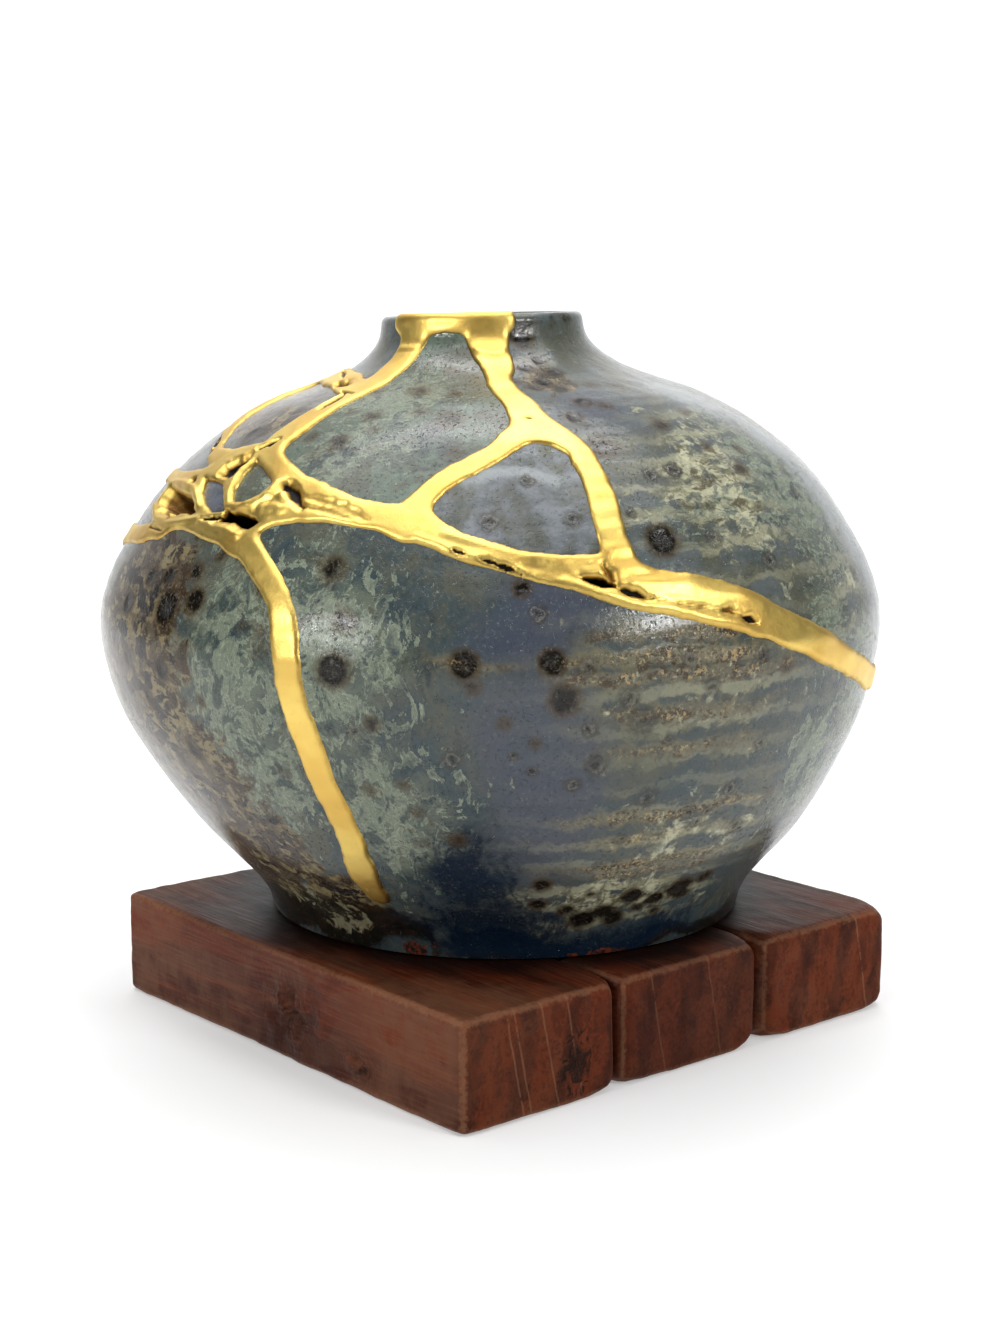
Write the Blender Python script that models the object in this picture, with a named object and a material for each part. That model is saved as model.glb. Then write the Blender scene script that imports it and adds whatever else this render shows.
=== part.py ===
# A round stoneware bottle, broken into shards and mended with gold lacquer, on a base of three boards.
# Metres, +Z up. The origin lies on the ground under the middle of the belly.
#
# Places on the pot's wall are given as (degrees, share): degrees are counted from the front, to the
# right, and the share runs up the wall's outer side from 0 at the foot's edge to 1 at the lip.

import math

import bpy
import bmesh
import numpy as np
from mathutils import Vector
from mathutils.geometry import delaunay_2d_cdt

mm = 0.001

# Pot
pot_height = 107 * mm
belly_height = 54 * mm
belly_radius = 70.3 * mm
foot_radius = 43.2 * mm
neck_radius = 17.8 * mm
wall_thickness = 4.6 * mm
lip_thickness = 3.6 * mm
lip_chamfer = 0.9 * mm
floor_thickness = 6 * mm
foot_ring_width = 7 * mm
foot_recess_depth = 2.2 * mm

# How the mended pot sits: the shoulder leans a little to the left, the foot is pushed to the right
front_bearing = math.radians(229.57)
shoulder_lean = math.radians(1.7)
foot_shift = 2.6 * mm
lean_start = 44 * mm
lean_rise = 46 * mm

# Mend
fit_gap = 0.3 * mm
gold_raise = 0.5 * mm

# Base of three boards
board_width = 34 * mm
board_length = 99 * mm
board_thickness = 18.9 * mm
board_edge_round = 1.1 * mm
board_joint = 0.3 * mm
base_offset_x = -1 * mm
base_offset_y = -5.1 * mm
rest_gap = 0.3 * mm

# Mesh
ring_spacing = 8.6 * mm
ring_bend = 0.26
seam_spacing = 4.5 * mm
ring_fewest = 34
ring_most = 56

# The outer side's curve: share of the rise and share of the swell, below and above the belly
lower_curve = [(0, 0), (0.055, 0.03), (0.13, 0.12), (0.33, 0.47), (0.63, 0.83), (0.82, 0.96), (1, 1)]
upper_curve = [(0, 0), (0.15, 0.04), (0.28, 0.11), (0.40, 0.19), (0.49, 0.27), (0.575, 0.37), (0.65, 0.48),
               (0.72, 0.62), (0.765, 0.745), (0.81, 0.855), (0.86, 0.935), (0.915, 0.983), (1, 1)]

# Where the inner side's floor meets its wall
heel_share = 0.10
floor_radius = foot_radius - foot_ring_width
front_right = front_bearing + math.radians(90)

# Seams: (degrees, share, width in mm) along the middle of each gold line
seams = {
    "neck_left": [(-40.5, 1.01, 6), (-40, 0.94, 6), (-40.5, 0.90, 6), (-42, 0.85, 6), (-43.7, 0.80, 6),
                  (-45, 0.76, 6.3), (-46.5, 0.712, 6)],
    "neck_right": [(2, 1.01, 9), (4, 0.955, 7), (6.3, 0.925, 6.3), (6.2, 0.90, 5.2), (6.3, 0.87, 5),
                   (7.5, 0.84, 5.3), (9.7, 0.80, 5.8), (11, 0.757, 7)],
    "shard_top": [(11, 0.757, 6.5), (7, 0.742, 5.5), (3, 0.718, 4.6), (-1.5, 0.697, 4.6), (-6.5, 0.673, 4.4),
                  (-9.8, 0.645, 4.4), (-11.5, 0.613, 6)],
    "shard_right": [(11, 0.757, 7), (14.8, 0.738, 5.6), (17.6, 0.712, 5.2), (18.4, 0.68, 5.3),
                    (18.5, 0.64, 5.3), (18.2, 0.60, 5.2), (18.8, 0.558, 5.6), (19.5, 0.527, 7)],
    "belly_front": [(-11.5, 0.613, 6), (-5, 0.588, 4.9), (0, 0.571, 4.9), (5, 0.558, 4.8), (10, 0.549, 5.7),
                    (15, 0.540, 7.2), (19.5, 0.527, 7.3), (25, 0.515, 8), (30, 0.505, 8.2), (35, 0.492, 7.7),
                    (42, 0.467, 6.4), (50, 0.439, 6.1), (60, 0.405, 5), (73, 0.369, 4.8), (86, 0.350, 4.6)],
    "belly_back": [(86, 0.350, 4.6), (105, 0.342, 4.6), (128, 0.352, 4.8), (150, 0.385, 4.8), (170, 0.43, 4.8),
                   (188, 0.472, 5), (212, 0.498, 4.8), (237, 0.515, 4.6), (260, 0.535, 4.6), (275, 0.552, 4.4)],
    "belly_left": [(-85, 0.552, 4.4), (-70, 0.568, 4), (-62, 0.580, 3.9), (-57, 0.595, 3), (-52, 0.596, 3),
                   (-46, 0.590, 3.7), (-39.5, 0.583, 5.5)],
    "shoulder_upper": [(-46.5, 0.712, 5.5), (-40, 0.690, 4.6), (-34, 0.669, 4.2), (-27, 0.652, 3.8),
                       (-20, 0.633, 3.6), (-11.5, 0.613, 6)],
    "shoulder_lower": [(-39.5, 0.583, 5), (-37, 0.603, 3.6), (-33, 0.619, 3.8), (-26, 0.623, 3.8),
                       (-20, 0.619, 3.8), (-11.5, 0.613, 6)],
    "front_crack": [(-39.5, 0.583, 5.2), (-36, 0.565, 5), (-32.5, 0.541, 5.1), (-29.5, 0.516, 4.9),
                    (-28, 0.49, 4.9), (-26.8, 0.45, 5.3), (-26, 0.40, 5.2), (-24.6, 0.35, 5.2),
                    (-24, 0.30, 5.2), (-23.3, 0.25, 5.2), (-23.2, 0.20, 4.9), (-24, 0.15, 5.8), (-24, 0.105, 4.4)],
    "neck_to_left": [(-42, 0.87, 6), (-48, 0.868, 6.2), (-55, 0.880, 6.2), (-63, 0.889, 6.2), (-74, 0.893, 6),
                     (-90, 0.893, 5)],
    "neck_to_back": [(-90, 0.893, 5), (-110, 0.875, 4.4), (-130, 0.84, 4.4), (-147, 0.79, 4.4), (-158, 0.73, 4.4)],
    "back_drop": [(-158, 0.73, 4.6), (-167, 0.67, 4.4), (-171, 0.60, 4.6), (-176, 0.53, 4.8), (-172, 0.472, 5)],
    "left_shoulder": [(-46.5, 0.712, 6), (-52, 0.708, 5), (-58, 0.698, 5), (-64, 0.700, 3.6), (-69, 0.715, 3.6),
                      (-76, 0.745, 3.8), (-84, 0.79, 3.8), (-91, 0.84, 3.8), (-95, 0.888, 4)],
    "left_band": [(-57, 0.669, 3.2), (-63, 0.662, 3.2), (-72, 0.653, 3.2), (-85, 0.648, 3.4), (-100, 0.63, 3.6),
                  (-114, 0.58, 4), (-120, 0.518, 4.6)],
    "rim": [(-50.5, 0.989, 3.6), (-30, 0.989, 3.6), (-10, 0.989, 3.6), (13, 0.989, 3.6)],
}

# The corner that broke into chips and was filled with gold
mended_corner = [(-47, 0.714), (-41, 0.690), (-33, 0.664), (-26, 0.640), (-27, 0.620), (-34, 0.606), (-38, 0.586),
                 (-46, 0.586), (-57, 0.590), (-66, 0.584), (-73, 0.603), (-75.5, 0.633), (-72, 0.655), (-61, 0.668),
                 (-59, 0.700), (-52, 0.716)]

# Chips of glazed ceramic set in that corner
chips = {
    "grey_chip": [(-58, 0.661), (-54, 0.660), (-51, 0.655), (-49.3, 0.643), (-47.6, 0.630), (-46.2, 0.618),
                  (-48.8, 0.614), (-52, 0.625), (-55.5, 0.641)],
    "green_chip": [(-46.9, 0.697), (-43.5, 0.685), (-40.3, 0.673), (-38.9, 0.661), (-40, 0.645), (-42.5, 0.634),
                   (-45.2, 0.633), (-46.9, 0.650), (-47.5, 0.675)],
}

# Places that the gold leaves open
holes = {
    "side_hole": [(-71.5, 0.639), (-64, 0.637), (-58, 0.632), (-54.8, 0.619), (-52.6, 0.609), (-57, 0.607),
                  (-61.5, 0.600), (-66.5, 0.601), (-70.5, 0.618)],
    "front_hole": [(-46.0, 0.6035), (-42.6, 0.6035), (-40.2, 0.598), (-38.6, 0.596), (-36.6, 0.606), (-39, 0.6125),
                   (-42.5, 0.617), (-45.4, 0.618)],
    "seam_slit": [(12.4, 0.5395), (14.2, 0.534), (15.8, 0.528), (17.3, 0.5275), (16.9, 0.534), (15, 0.5385)],
}

# A place inside each shard
shards = {
    "lower_body": (0, 0.3),
    "front_shoulder_shard": (-15, 0.80),
    "triangle_shard": (6, 0.64),
    "neck_and_shoulder_shard": (90, 0.70),
    "left_shoulder_shard": (-62, 0.79),
    "back_left_shard": (-115, 0.72),
    "left_edge_shard": (-88, 0.60),
}

# Colour and roughness of each glazed piece
glazes = {
    "lower_body": ((0.20, 0.22, 0.24), 0.28),
    "front_shoulder_shard": ((0.27, 0.32, 0.31), 0.30),
    "triangle_shard": ((0.23, 0.25, 0.30), 0.28),
    "neck_and_shoulder_shard": ((0.27, 0.29, 0.27), 0.28),
    "left_shoulder_shard": ((0.36, 0.35, 0.33), 0.30),
    "back_left_shard": ((0.33, 0.34, 0.30), 0.30),
    "left_edge_shard": ((0.33, 0.31, 0.32), 0.30),
    "grey_chip": ((0.24, 0.25, 0.27), 0.32),
    "green_chip": ((0.28, 0.33, 0.30), 0.32),
}


def clear_scene():
    for item in list(bpy.data.objects):
        bpy.data.objects.remove(item, do_unlink=True)


def smooth_line(points, step):
    """Points about a step apart on a smooth curve through the given points, in any number of dimensions."""
    points = np.array(points, dtype=float)
    gaps = np.linalg.norm(np.diff(points, axis=0), axis=1)
    at = np.concatenate([[0], np.cumsum(gaps)])
    tangents = np.empty_like(points)
    tangents[1:-1] = (points[2:] - points[:-2]) / (at[2:] - at[:-2])[:, None]
    tangents[0] = (points[1] - points[0]) / gaps[0]
    tangents[-1] = (points[-1] - points[-2]) / gaps[-1]
    line = []
    for i, gap in enumerate(gaps):
        parts = max(1, round(gap / step))
        for k in range(parts):
            t = k / parts
            line.append((2 * t**3 - 3 * t**2 + 1) * points[i] + (t**3 - 2 * t**2 + t) * gap * tangents[i]
                        + (3 * t**2 - 2 * t**3) * points[i + 1] + (t**3 - t**2) * gap * tangents[i + 1])
    line.append(points[-1])
    return np.array(line)


class Wall:
    """The pot's wall: its outer and inner side, and a flat map of it with true angles."""

    def __init__(self):
        swell = belly_radius - foot_radius
        shoulder = belly_radius - neck_radius
        rise = pot_height - belly_height
        points = [(foot_radius + swell * w, belly_height * t) for t, w in lower_curve]
        points += [(belly_radius - shoulder * w, belly_height + rise * t) for t, w in upper_curve[1:]]
        self.outer = smooth_line(points, 0.4 * mm)
        lengths = np.linalg.norm(np.diff(self.outer, axis=0), axis=1)
        self.along = np.concatenate([[0], np.cumsum(lengths)])
        self.length = self.along[-1]
        middle_radius = (self.outer[1:, 0] + self.outer[:-1, 0]) / 2
        self.map_height = np.concatenate([[0], np.cumsum(lengths / middle_radius)])
        slope = np.gradient(self.outer, self.along, axis=0)
        self.slope = slope / np.linalg.norm(slope, axis=1)[:, None]

    def radius(self, share):
        return np.interp(share * self.length, self.along, self.outer[:, 0])

    def height_on_map(self, share):
        """Height on the map, which runs on straight past the lip."""
        beyond = np.maximum(np.asarray(share, float) - 1, 0) * self.length / neck_radius
        return np.interp(share * self.length, self.along, self.map_height) + beyond

    def share_at(self, map_height):
        return np.interp(map_height, self.map_height, self.along) / self.length

    def outward(self, share):
        s = share * self.length
        return Vector((np.interp(s, self.along, self.slope[:, 1]), -np.interp(s, self.along, self.slope[:, 0])))

    def offset(self, share, depth):
        s = share * self.length
        point = Vector((np.interp(s, self.along, self.outer[:, 0]), np.interp(s, self.along, self.outer[:, 1])))
        return point - self.outward(share) * float(depth)

    def chamfer(self, share):
        """How far each side of the lip is cut back at this place."""
        return max(0.0, lip_chamfer - (1 - share) * float(self.length))

    def outer_point(self, share, lift=0.0):
        return self.offset(share, self.chamfer(share) - lift)

    def inner_point(self, share):
        if share < heel_share:
            start = Vector((floor_radius, floor_thickness))
            end = self.inner_point(heel_share)
            corner = Vector((end.x - (end.x - start.x) * 0.3, start.y))
            t = share / heel_share
            return start * (1 - t)**2 + corner * (2 * t * (1 - t)) + end * t**2
        near_lip = min(1.0, max(0.0, (share - 0.8) / 0.2))
        depth = wall_thickness + (lip_thickness - wall_thickness) * near_lip
        return self.offset(share, depth - self.chamfer(share))


wall = Wall()


def on_map(degrees, share):
    """The flat map: the lip is its outer circle and the middle of the base its centre."""
    radius = math.exp(float(wall.height_on_map(share)))
    return Vector((radius * math.cos(math.radians(degrees)), radius * math.sin(math.radians(degrees))))


def sway(radius, turn, height):
    """A point of the pot, from its radius, its turn from the front and its height, as the mended pot sits."""
    across = radius * math.sin(turn)
    away = -radius * math.cos(turn)
    rise = min(1.0, max(0.0, (height - lean_start) / lean_rise))
    lean = shoulder_lean * rise * rise * (3 - 2 * rise)
    low = min(1.0, max(0.0, height / (belly_height - 6 * mm)))
    across_now = across - (height - belly_height) * lean + foot_shift * (1 - low * low * (3 - 2 * low))
    right = Vector((math.cos(front_right), math.sin(front_right), 0))
    back = Vector((-math.cos(front_bearing), -math.sin(front_bearing), 0))
    foot_level = board_thickness + rest_gap
    return across_now * right + away * back + Vector((0, 0, foot_level + height + across * lean))


def to_plane(points):
    """(degrees, share) to (radians, height on the map), where angles and shapes are true."""
    return [(math.radians(d), float(wall.height_on_map(s))) for d, s in points]


def from_plane(point):
    radius = math.exp(point[1])
    return Vector((radius * math.cos(point[0]), radius * math.sin(point[0])))


def local_radius(height):
    """How many metres one unit of the plane is at this height."""
    return float(wall.radius(wall.share_at(height)))


def strip(points, grow):
    """The outline of one seam on the plane, as wide as its widths say and grown by this much on each side."""
    line = [(math.radians(d), float(wall.height_on_map(s)), w * mm / 2) for d, s, w in points]
    middle = local_radius(np.mean([p[1] for p in line]))
    line = smooth_line([(a, h, w / middle) for a, h, w in line], seam_spacing / middle)
    left, right = [], []
    for i, (a, h, w) in enumerate(line):
        before = line[max(i - 1, 0)]
        after = line[min(i + 1, len(line) - 1)]
        along = Vector((after[0] - before[0], after[1] - before[1])).normalized()
        half = (w * middle + grow) / local_radius(h)
        left.append((a - along.y * half, h + along.x * half))
        right.append((a + along.y * half, h - along.x * half))
    return left + right[::-1]


def pool(degrees, share, width, grow):
    """A round blob of gold where seams meet or end."""
    height = float(wall.height_on_map(share))
    radius = (width * mm / 2 + grow) / local_radius(height)
    turns = [2 * math.pi * k / 10 for k in range(10)]
    return [(math.radians(degrees) + radius * math.cos(t), height + radius * math.sin(t)) for t in turns]


def patch(points, grow):
    """An outline on the plane, with points close enough to follow the wall, grown by this much."""
    corners = to_plane(points)
    turned = sum(a[0] * b[1] - b[0] * a[1] for a, b in zip(corners, corners[1:] + corners[:1]))
    grow = grow if turned > 0 else -grow
    grown = []
    for i, corner in enumerate(corners):
        before = Vector(corner) - Vector(corners[i - 1])
        after = Vector(corners[(i + 1) % len(corners)]) - Vector(corner)
        normal = (before.normalized() + after.normalized()).normalized()
        cosine = max(0.5, normal.dot(before.normalized()))
        distance = grow / cosine / local_radius(corner[1])
        grown.append((corner[0] + normal.y * distance, corner[1] - normal.x * distance))
    outline = []
    for a, b in zip(grown, grown[1:] + grown[:1]):
        length = math.dist(a, b) * local_radius((a[1] + b[1]) / 2)
        parts = max(1, round(length / seam_spacing))
        outline += [(a[0] + (b[0] - a[0]) * k / parts, a[1] + (b[1] - a[1]) * k / parts) for k in range(parts)]
    return outline


def ring_shares():
    """Shares of the wall where rings of points go: closer where the wall bends."""
    turning = np.abs(np.diff(np.unwrap(np.arctan2(wall.slope[:, 1], wall.slope[:, 0]))))
    measure = np.concatenate([[0], np.cumsum(np.diff(wall.along) / ring_spacing + turning / ring_bend)])
    count = max(6, round(measure[-1]))
    places = np.interp(np.linspace(0, measure[-1], count + 1)[1:-1], measure, wall.along) / wall.length
    last = 1 - lip_chamfer / wall.length
    return [s for s in places if s < last - 0.01] + [last]


def ring_count(radius):
    return int(min(ring_most, max(ring_fewest, round(2 * math.pi * radius / ring_spacing))))


def base_rings():
    """Rings of the base from its middle out: (outer radius, outer height, inner radius, inner height)."""
    inside = foot_radius - foot_ring_width
    return [
        (inside * 0.5, foot_recess_depth, floor_radius * 0.45, floor_thickness),
        (inside - foot_recess_depth * 0.6, foot_recess_depth, floor_radius * 0.9, floor_thickness),
        (inside, 0.0, floor_radius * 0.96, floor_thickness),
    ]


def make_map(grow):
    """Triangles of the map, each with the name of the piece it is part of.

    grow widens the gold's outlines, so that the shards made from a wider map stand clear of the gold."""
    points, edges, faces, kinds = [], [], [], []

    def add_face(kind, outline):
        first = len(points)
        signed = sum(a.x * b.y - b.x * a.y for a, b in zip(outline, outline[1:] + outline[:1]))
        points.extend(outline if signed > 0 else outline[::-1])
        faces.append(list(range(first, len(points))))
        kinds.append(kind)

    lip = ring_count(neck_radius)
    add_face("wall", [on_map(360 * k / lip, 1) for k in range(lip)])
    for line in seams.values():
        add_face("gold", [from_plane(p) for p in strip(line, grow)])
    ends = {}
    for line in seams.values():
        for place in (line[0], line[-1]):
            if place[1] <= 1:
                key = (round(place[0] % 360), place[1])
                ends[key] = max(ends.get(key, place), place, key=lambda p: p[2])
    for place in ends.values():
        add_face("gold", [from_plane(p) for p in pool(*place, grow)])
    add_face("gold", [from_plane(p) for p in patch(mended_corner, grow)])
    for name, outline in chips.items():
        add_face(name, [from_plane(p) for p in patch(outline, -grow)])
    for outline in holes.values():
        add_face("hole", [from_plane(p) for p in patch(outline, 0)])
    outlines = np.array([tuple(p) for p in points[lip:]])

    def add_ring(radius, count, turn, kept):
        first = len(points)
        ring = [Vector((radius * math.cos(turn + 2 * math.pi * k / count),
                        radius * math.sin(turn + 2 * math.pi * k / count))) for k in range(count)]
        if kept:
            points.extend(ring)
            edges.extend((first + k, first + (k + 1) % count) for k in range(count))
            return
        spacing = 2 * math.pi * radius / count
        for p in ring:
            if np.min(np.hypot(outlines[:, 0] - p.x, outlines[:, 1] - p.y)) > spacing * 0.42:
                points.append(p)

    shares = ring_shares()
    for i, share in enumerate(shares):
        count = ring_count(wall.radius(share))
        turn = math.pi / count * (i % 2)
        add_ring(math.exp(float(wall.height_on_map(share))), count, turn, share == shares[-1])
    foot = ring_count(foot_radius)
    add_ring(1.0, foot, 0, True)
    for radius, height, _, _ in base_rings():
        add_ring(radius / foot_radius, max(12, round(foot * radius / foot_radius)), 0, True)
    points.append(Vector((0, 0)))

    result = delaunay_2d_cdt(points, edges, faces, 0, 1e-6)
    places, triangles, sources = result[0], result[2], result[5]
    names = []
    for source in sources:
        inside = {kinds[k] for k in source}
        if "wall" not in inside:
            names.append(None)
        elif "hole" in inside:
            names.append("hole")
        elif inside & set(chips):
            names.append((inside & set(chips)).pop())
        else:
            names.append("gold" if "gold" in inside else "")
    name_shards(places, triangles, names)
    return places, triangles, names


def name_shards(places, triangles, names):
    """Name each connected area of bare wall after the shard whose place lies in it.

    A sliver between seams that holds no shard's place is lacquer in the gold's own map."""
    sides = {}
    for t, corners in enumerate(triangles):
        for a, b in zip(corners, corners[1:] + corners[:1]):
            sides.setdefault((min(a, b), max(a, b)), []).append(t)
    area = [None] * len(triangles)
    areas = []
    for start, name in enumerate(names):
        if name != "" or area[start] is not None:
            continue
        members, front = [], [start]
        area[start] = len(areas)
        while front:
            t = front.pop()
            members.append(t)
            corners = triangles[t]
            for a, b in zip(corners, corners[1:] + corners[:1]):
                for other in sides[(min(a, b), max(a, b))]:
                    if names[other] == "" and area[other] is None:
                        area[other] = len(areas)
                        front.append(other)
        areas.append(members)
    for members in areas:
        found = "sliver"
        for shard, place in shards.items():
            spot = on_map(*place)
            if any(holds(spot, [places[k] for k in triangles[t]]) for t in members):
                found = shard
        for t in members:
            names[t] = found


def holds(spot, corners):
    signs = [(b - a).cross(spot - a) for a, b in zip(corners, corners[1:] + corners[:1])]
    return min(signs) >= 0 or max(signs) <= 0


def wall_places(place, lift):
    """The outer and the inner point of the wall at a place of the map."""
    turn = math.atan2(place.y, place.x)
    radius = place.length
    if radius > 0.9999:
        share = float(wall.share_at(math.log(max(radius, 1.0))))
        outer = wall.outer_point(share, lift)
        inner = wall.inner_point(share)
    else:
        rings = [(0.0, foot_recess_depth, 0.0, floor_thickness)] + base_rings()
        rings.append((foot_radius, 0.0, floor_radius, floor_thickness))
        table = np.array(rings)
        at = radius * foot_radius
        outer = Vector((at, np.interp(at, table[:, 0], table[:, 1])))
        inner = Vector((np.interp(at, table[:, 0], table[:, 2]), floor_thickness))
    return sway(outer.x, turn, outer.y), sway(inner.x, turn, inner.y)


def glazed_material(name, colour, roughness, metallic=0.0):
    material = bpy.data.materials.new(name)
    material.use_nodes = True
    shader = material.node_tree.nodes["Principled BSDF"]
    shader.inputs["Base Color"].default_value = (*colour, 1)
    shader.inputs["Roughness"].default_value = roughness
    shader.inputs["Metallic"].default_value = metallic
    return material


def wall_piece(name, flat_map, wanted, lift, material):
    """One closed piece of the wall, from the triangles of the map that carry one of the wanted names."""
    places, triangles, names = flat_map
    shape = bmesh.new()
    outer, inner = {}, {}
    chosen = [t for t, label in zip(triangles, names) if label in wanted]
    for k in sorted({k for t in chosen for k in t}):
        out_point, in_point = wall_places(places[k], lift)
        outer[k] = shape.verts.new(out_point)
        inner[k] = shape.verts.new(in_point)
    open_sides = {}
    for a, b, c in chosen:
        shape.faces.new((outer[a], outer[b], outer[c]))
        shape.faces.new((inner[c], inner[b], inner[a]))
        for side in ((a, b), (b, c), (c, a)):
            if side[::-1] in open_sides:
                del open_sides[side[::-1]]
            else:
                open_sides[side] = True
    for a, b in open_sides:
        shape.faces.new((outer[b], outer[a], inner[a]))
        shape.faces.new((outer[b], inner[a], inner[b]))
    bmesh.ops.recalc_face_normals(shape, faces=shape.faces[:])
    mesh = bpy.data.meshes.new(name)
    shape.to_mesh(mesh)
    shape.free()
    mesh.shade_smooth()
    mesh.set_sharp_from_angle(angle=math.radians(35))
    piece = bpy.data.objects.new(name, mesh)
    piece.data.materials.append(material)
    bpy.context.collection.objects.link(piece)
    return piece


def board(name, middle_x, material):
    """One board of the base, with its grain along Y and all its edges eased."""
    size = Vector((board_width - board_joint, board_length, board_thickness))
    shape = bmesh.new()
    bmesh.ops.create_cube(shape, size=1.0)
    bmesh.ops.scale(shape, vec=size, verts=shape.verts[:])
    bmesh.ops.bevel(shape, geom=shape.edges[:], offset=board_edge_round, offset_type="OFFSET", segments=2,
                    profile=0.5, affect="EDGES")
    bmesh.ops.recalc_face_normals(shape, faces=shape.faces[:])
    mesh = bpy.data.meshes.new(name)
    shape.to_mesh(mesh)
    shape.free()
    piece = bpy.data.objects.new(name, mesh)
    piece.location = (middle_x, base_offset_y, board_thickness / 2)
    piece.data.materials.append(material)
    bpy.context.collection.objects.link(piece)
    return piece


clear_scene()

gold = glazed_material("gold lacquer", (0.86, 0.60, 0.20), 0.28, 1.0)
wood = glazed_material("stained wood", (0.24, 0.09, 0.05), 0.5)

gold_map = make_map(0.0)
wall_piece("gold_lacquer", gold_map, {"gold", "sliver"}, gold_raise, gold)

shard_map = make_map(fit_gap)
for shard_name, (colour, roughness) in glazes.items():
    glaze = glazed_material(shard_name.replace("_", " ") + " glaze", colour, roughness)
    wall_piece(shard_name, shard_map, {shard_name}, 0.0, glaze)

for board_name, step in (("board_left", -1), ("board_middle", 0), ("board_right", 1)):
    board(board_name, base_offset_x + step * board_width, wood)
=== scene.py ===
# A round stoneware bottle, broken and mended with raised gold lacquer, on a base of three boards.
# Lengths are millimetres until a mesh is made. A place on the wall is (degrees, share): degrees are
# counted from the front, to the right, and the share runs up the wall from the foot's edge to the lip.
import itertools
import math

import bpy
import numpy as np
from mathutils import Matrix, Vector


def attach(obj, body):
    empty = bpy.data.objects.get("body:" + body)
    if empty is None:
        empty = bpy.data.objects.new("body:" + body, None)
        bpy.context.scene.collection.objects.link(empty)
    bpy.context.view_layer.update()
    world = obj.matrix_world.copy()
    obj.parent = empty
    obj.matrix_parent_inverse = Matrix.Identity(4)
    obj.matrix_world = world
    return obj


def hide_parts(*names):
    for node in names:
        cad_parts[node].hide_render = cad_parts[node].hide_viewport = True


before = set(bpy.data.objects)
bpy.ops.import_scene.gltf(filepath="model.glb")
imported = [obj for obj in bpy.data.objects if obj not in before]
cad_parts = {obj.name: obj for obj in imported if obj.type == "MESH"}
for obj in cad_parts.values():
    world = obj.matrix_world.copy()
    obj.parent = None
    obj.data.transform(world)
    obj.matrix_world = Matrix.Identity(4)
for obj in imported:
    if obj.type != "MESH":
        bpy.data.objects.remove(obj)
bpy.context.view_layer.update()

print("frame loaded")

pot = {
    "height": 107.0, "bellyHeight": 54.0, "bellyRadius": 70.3, "footRadius": 43.2, "neckRadius": 17.8,
    "wall": 4.6, "lip": 3.6, "lipRound": 1.5, "floor": 6.0, "footRing": 7.0, "footRecess": 2.2,
    "frontBearing": 229.57, "shoulderLean": 1.7, "footShift": 2.6, "leanStart": 44.0, "leanRise": 46.0,
    "footLevel": 19.2, "restGap": 0.25,
    "lowerCurve": [(0, 0), (0.055, 0.03), (0.13, 0.12), (0.33, 0.47), (0.63, 0.83), (0.82, 0.96), (1, 1)],
    "upperCurve": [(0, 0), (0.15, 0.04), (0.28, 0.11), (0.40, 0.19), (0.49, 0.27), (0.575, 0.37), (0.65, 0.48),
                   (0.72, 0.62), (0.765, 0.745), (0.81, 0.855), (0.86, 0.935), (0.915, 0.983), (1, 1)],
    "heelShare": 0.10,
    "columns": 432,            # how finely the glazed shards are meshed round the pot
}

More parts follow.
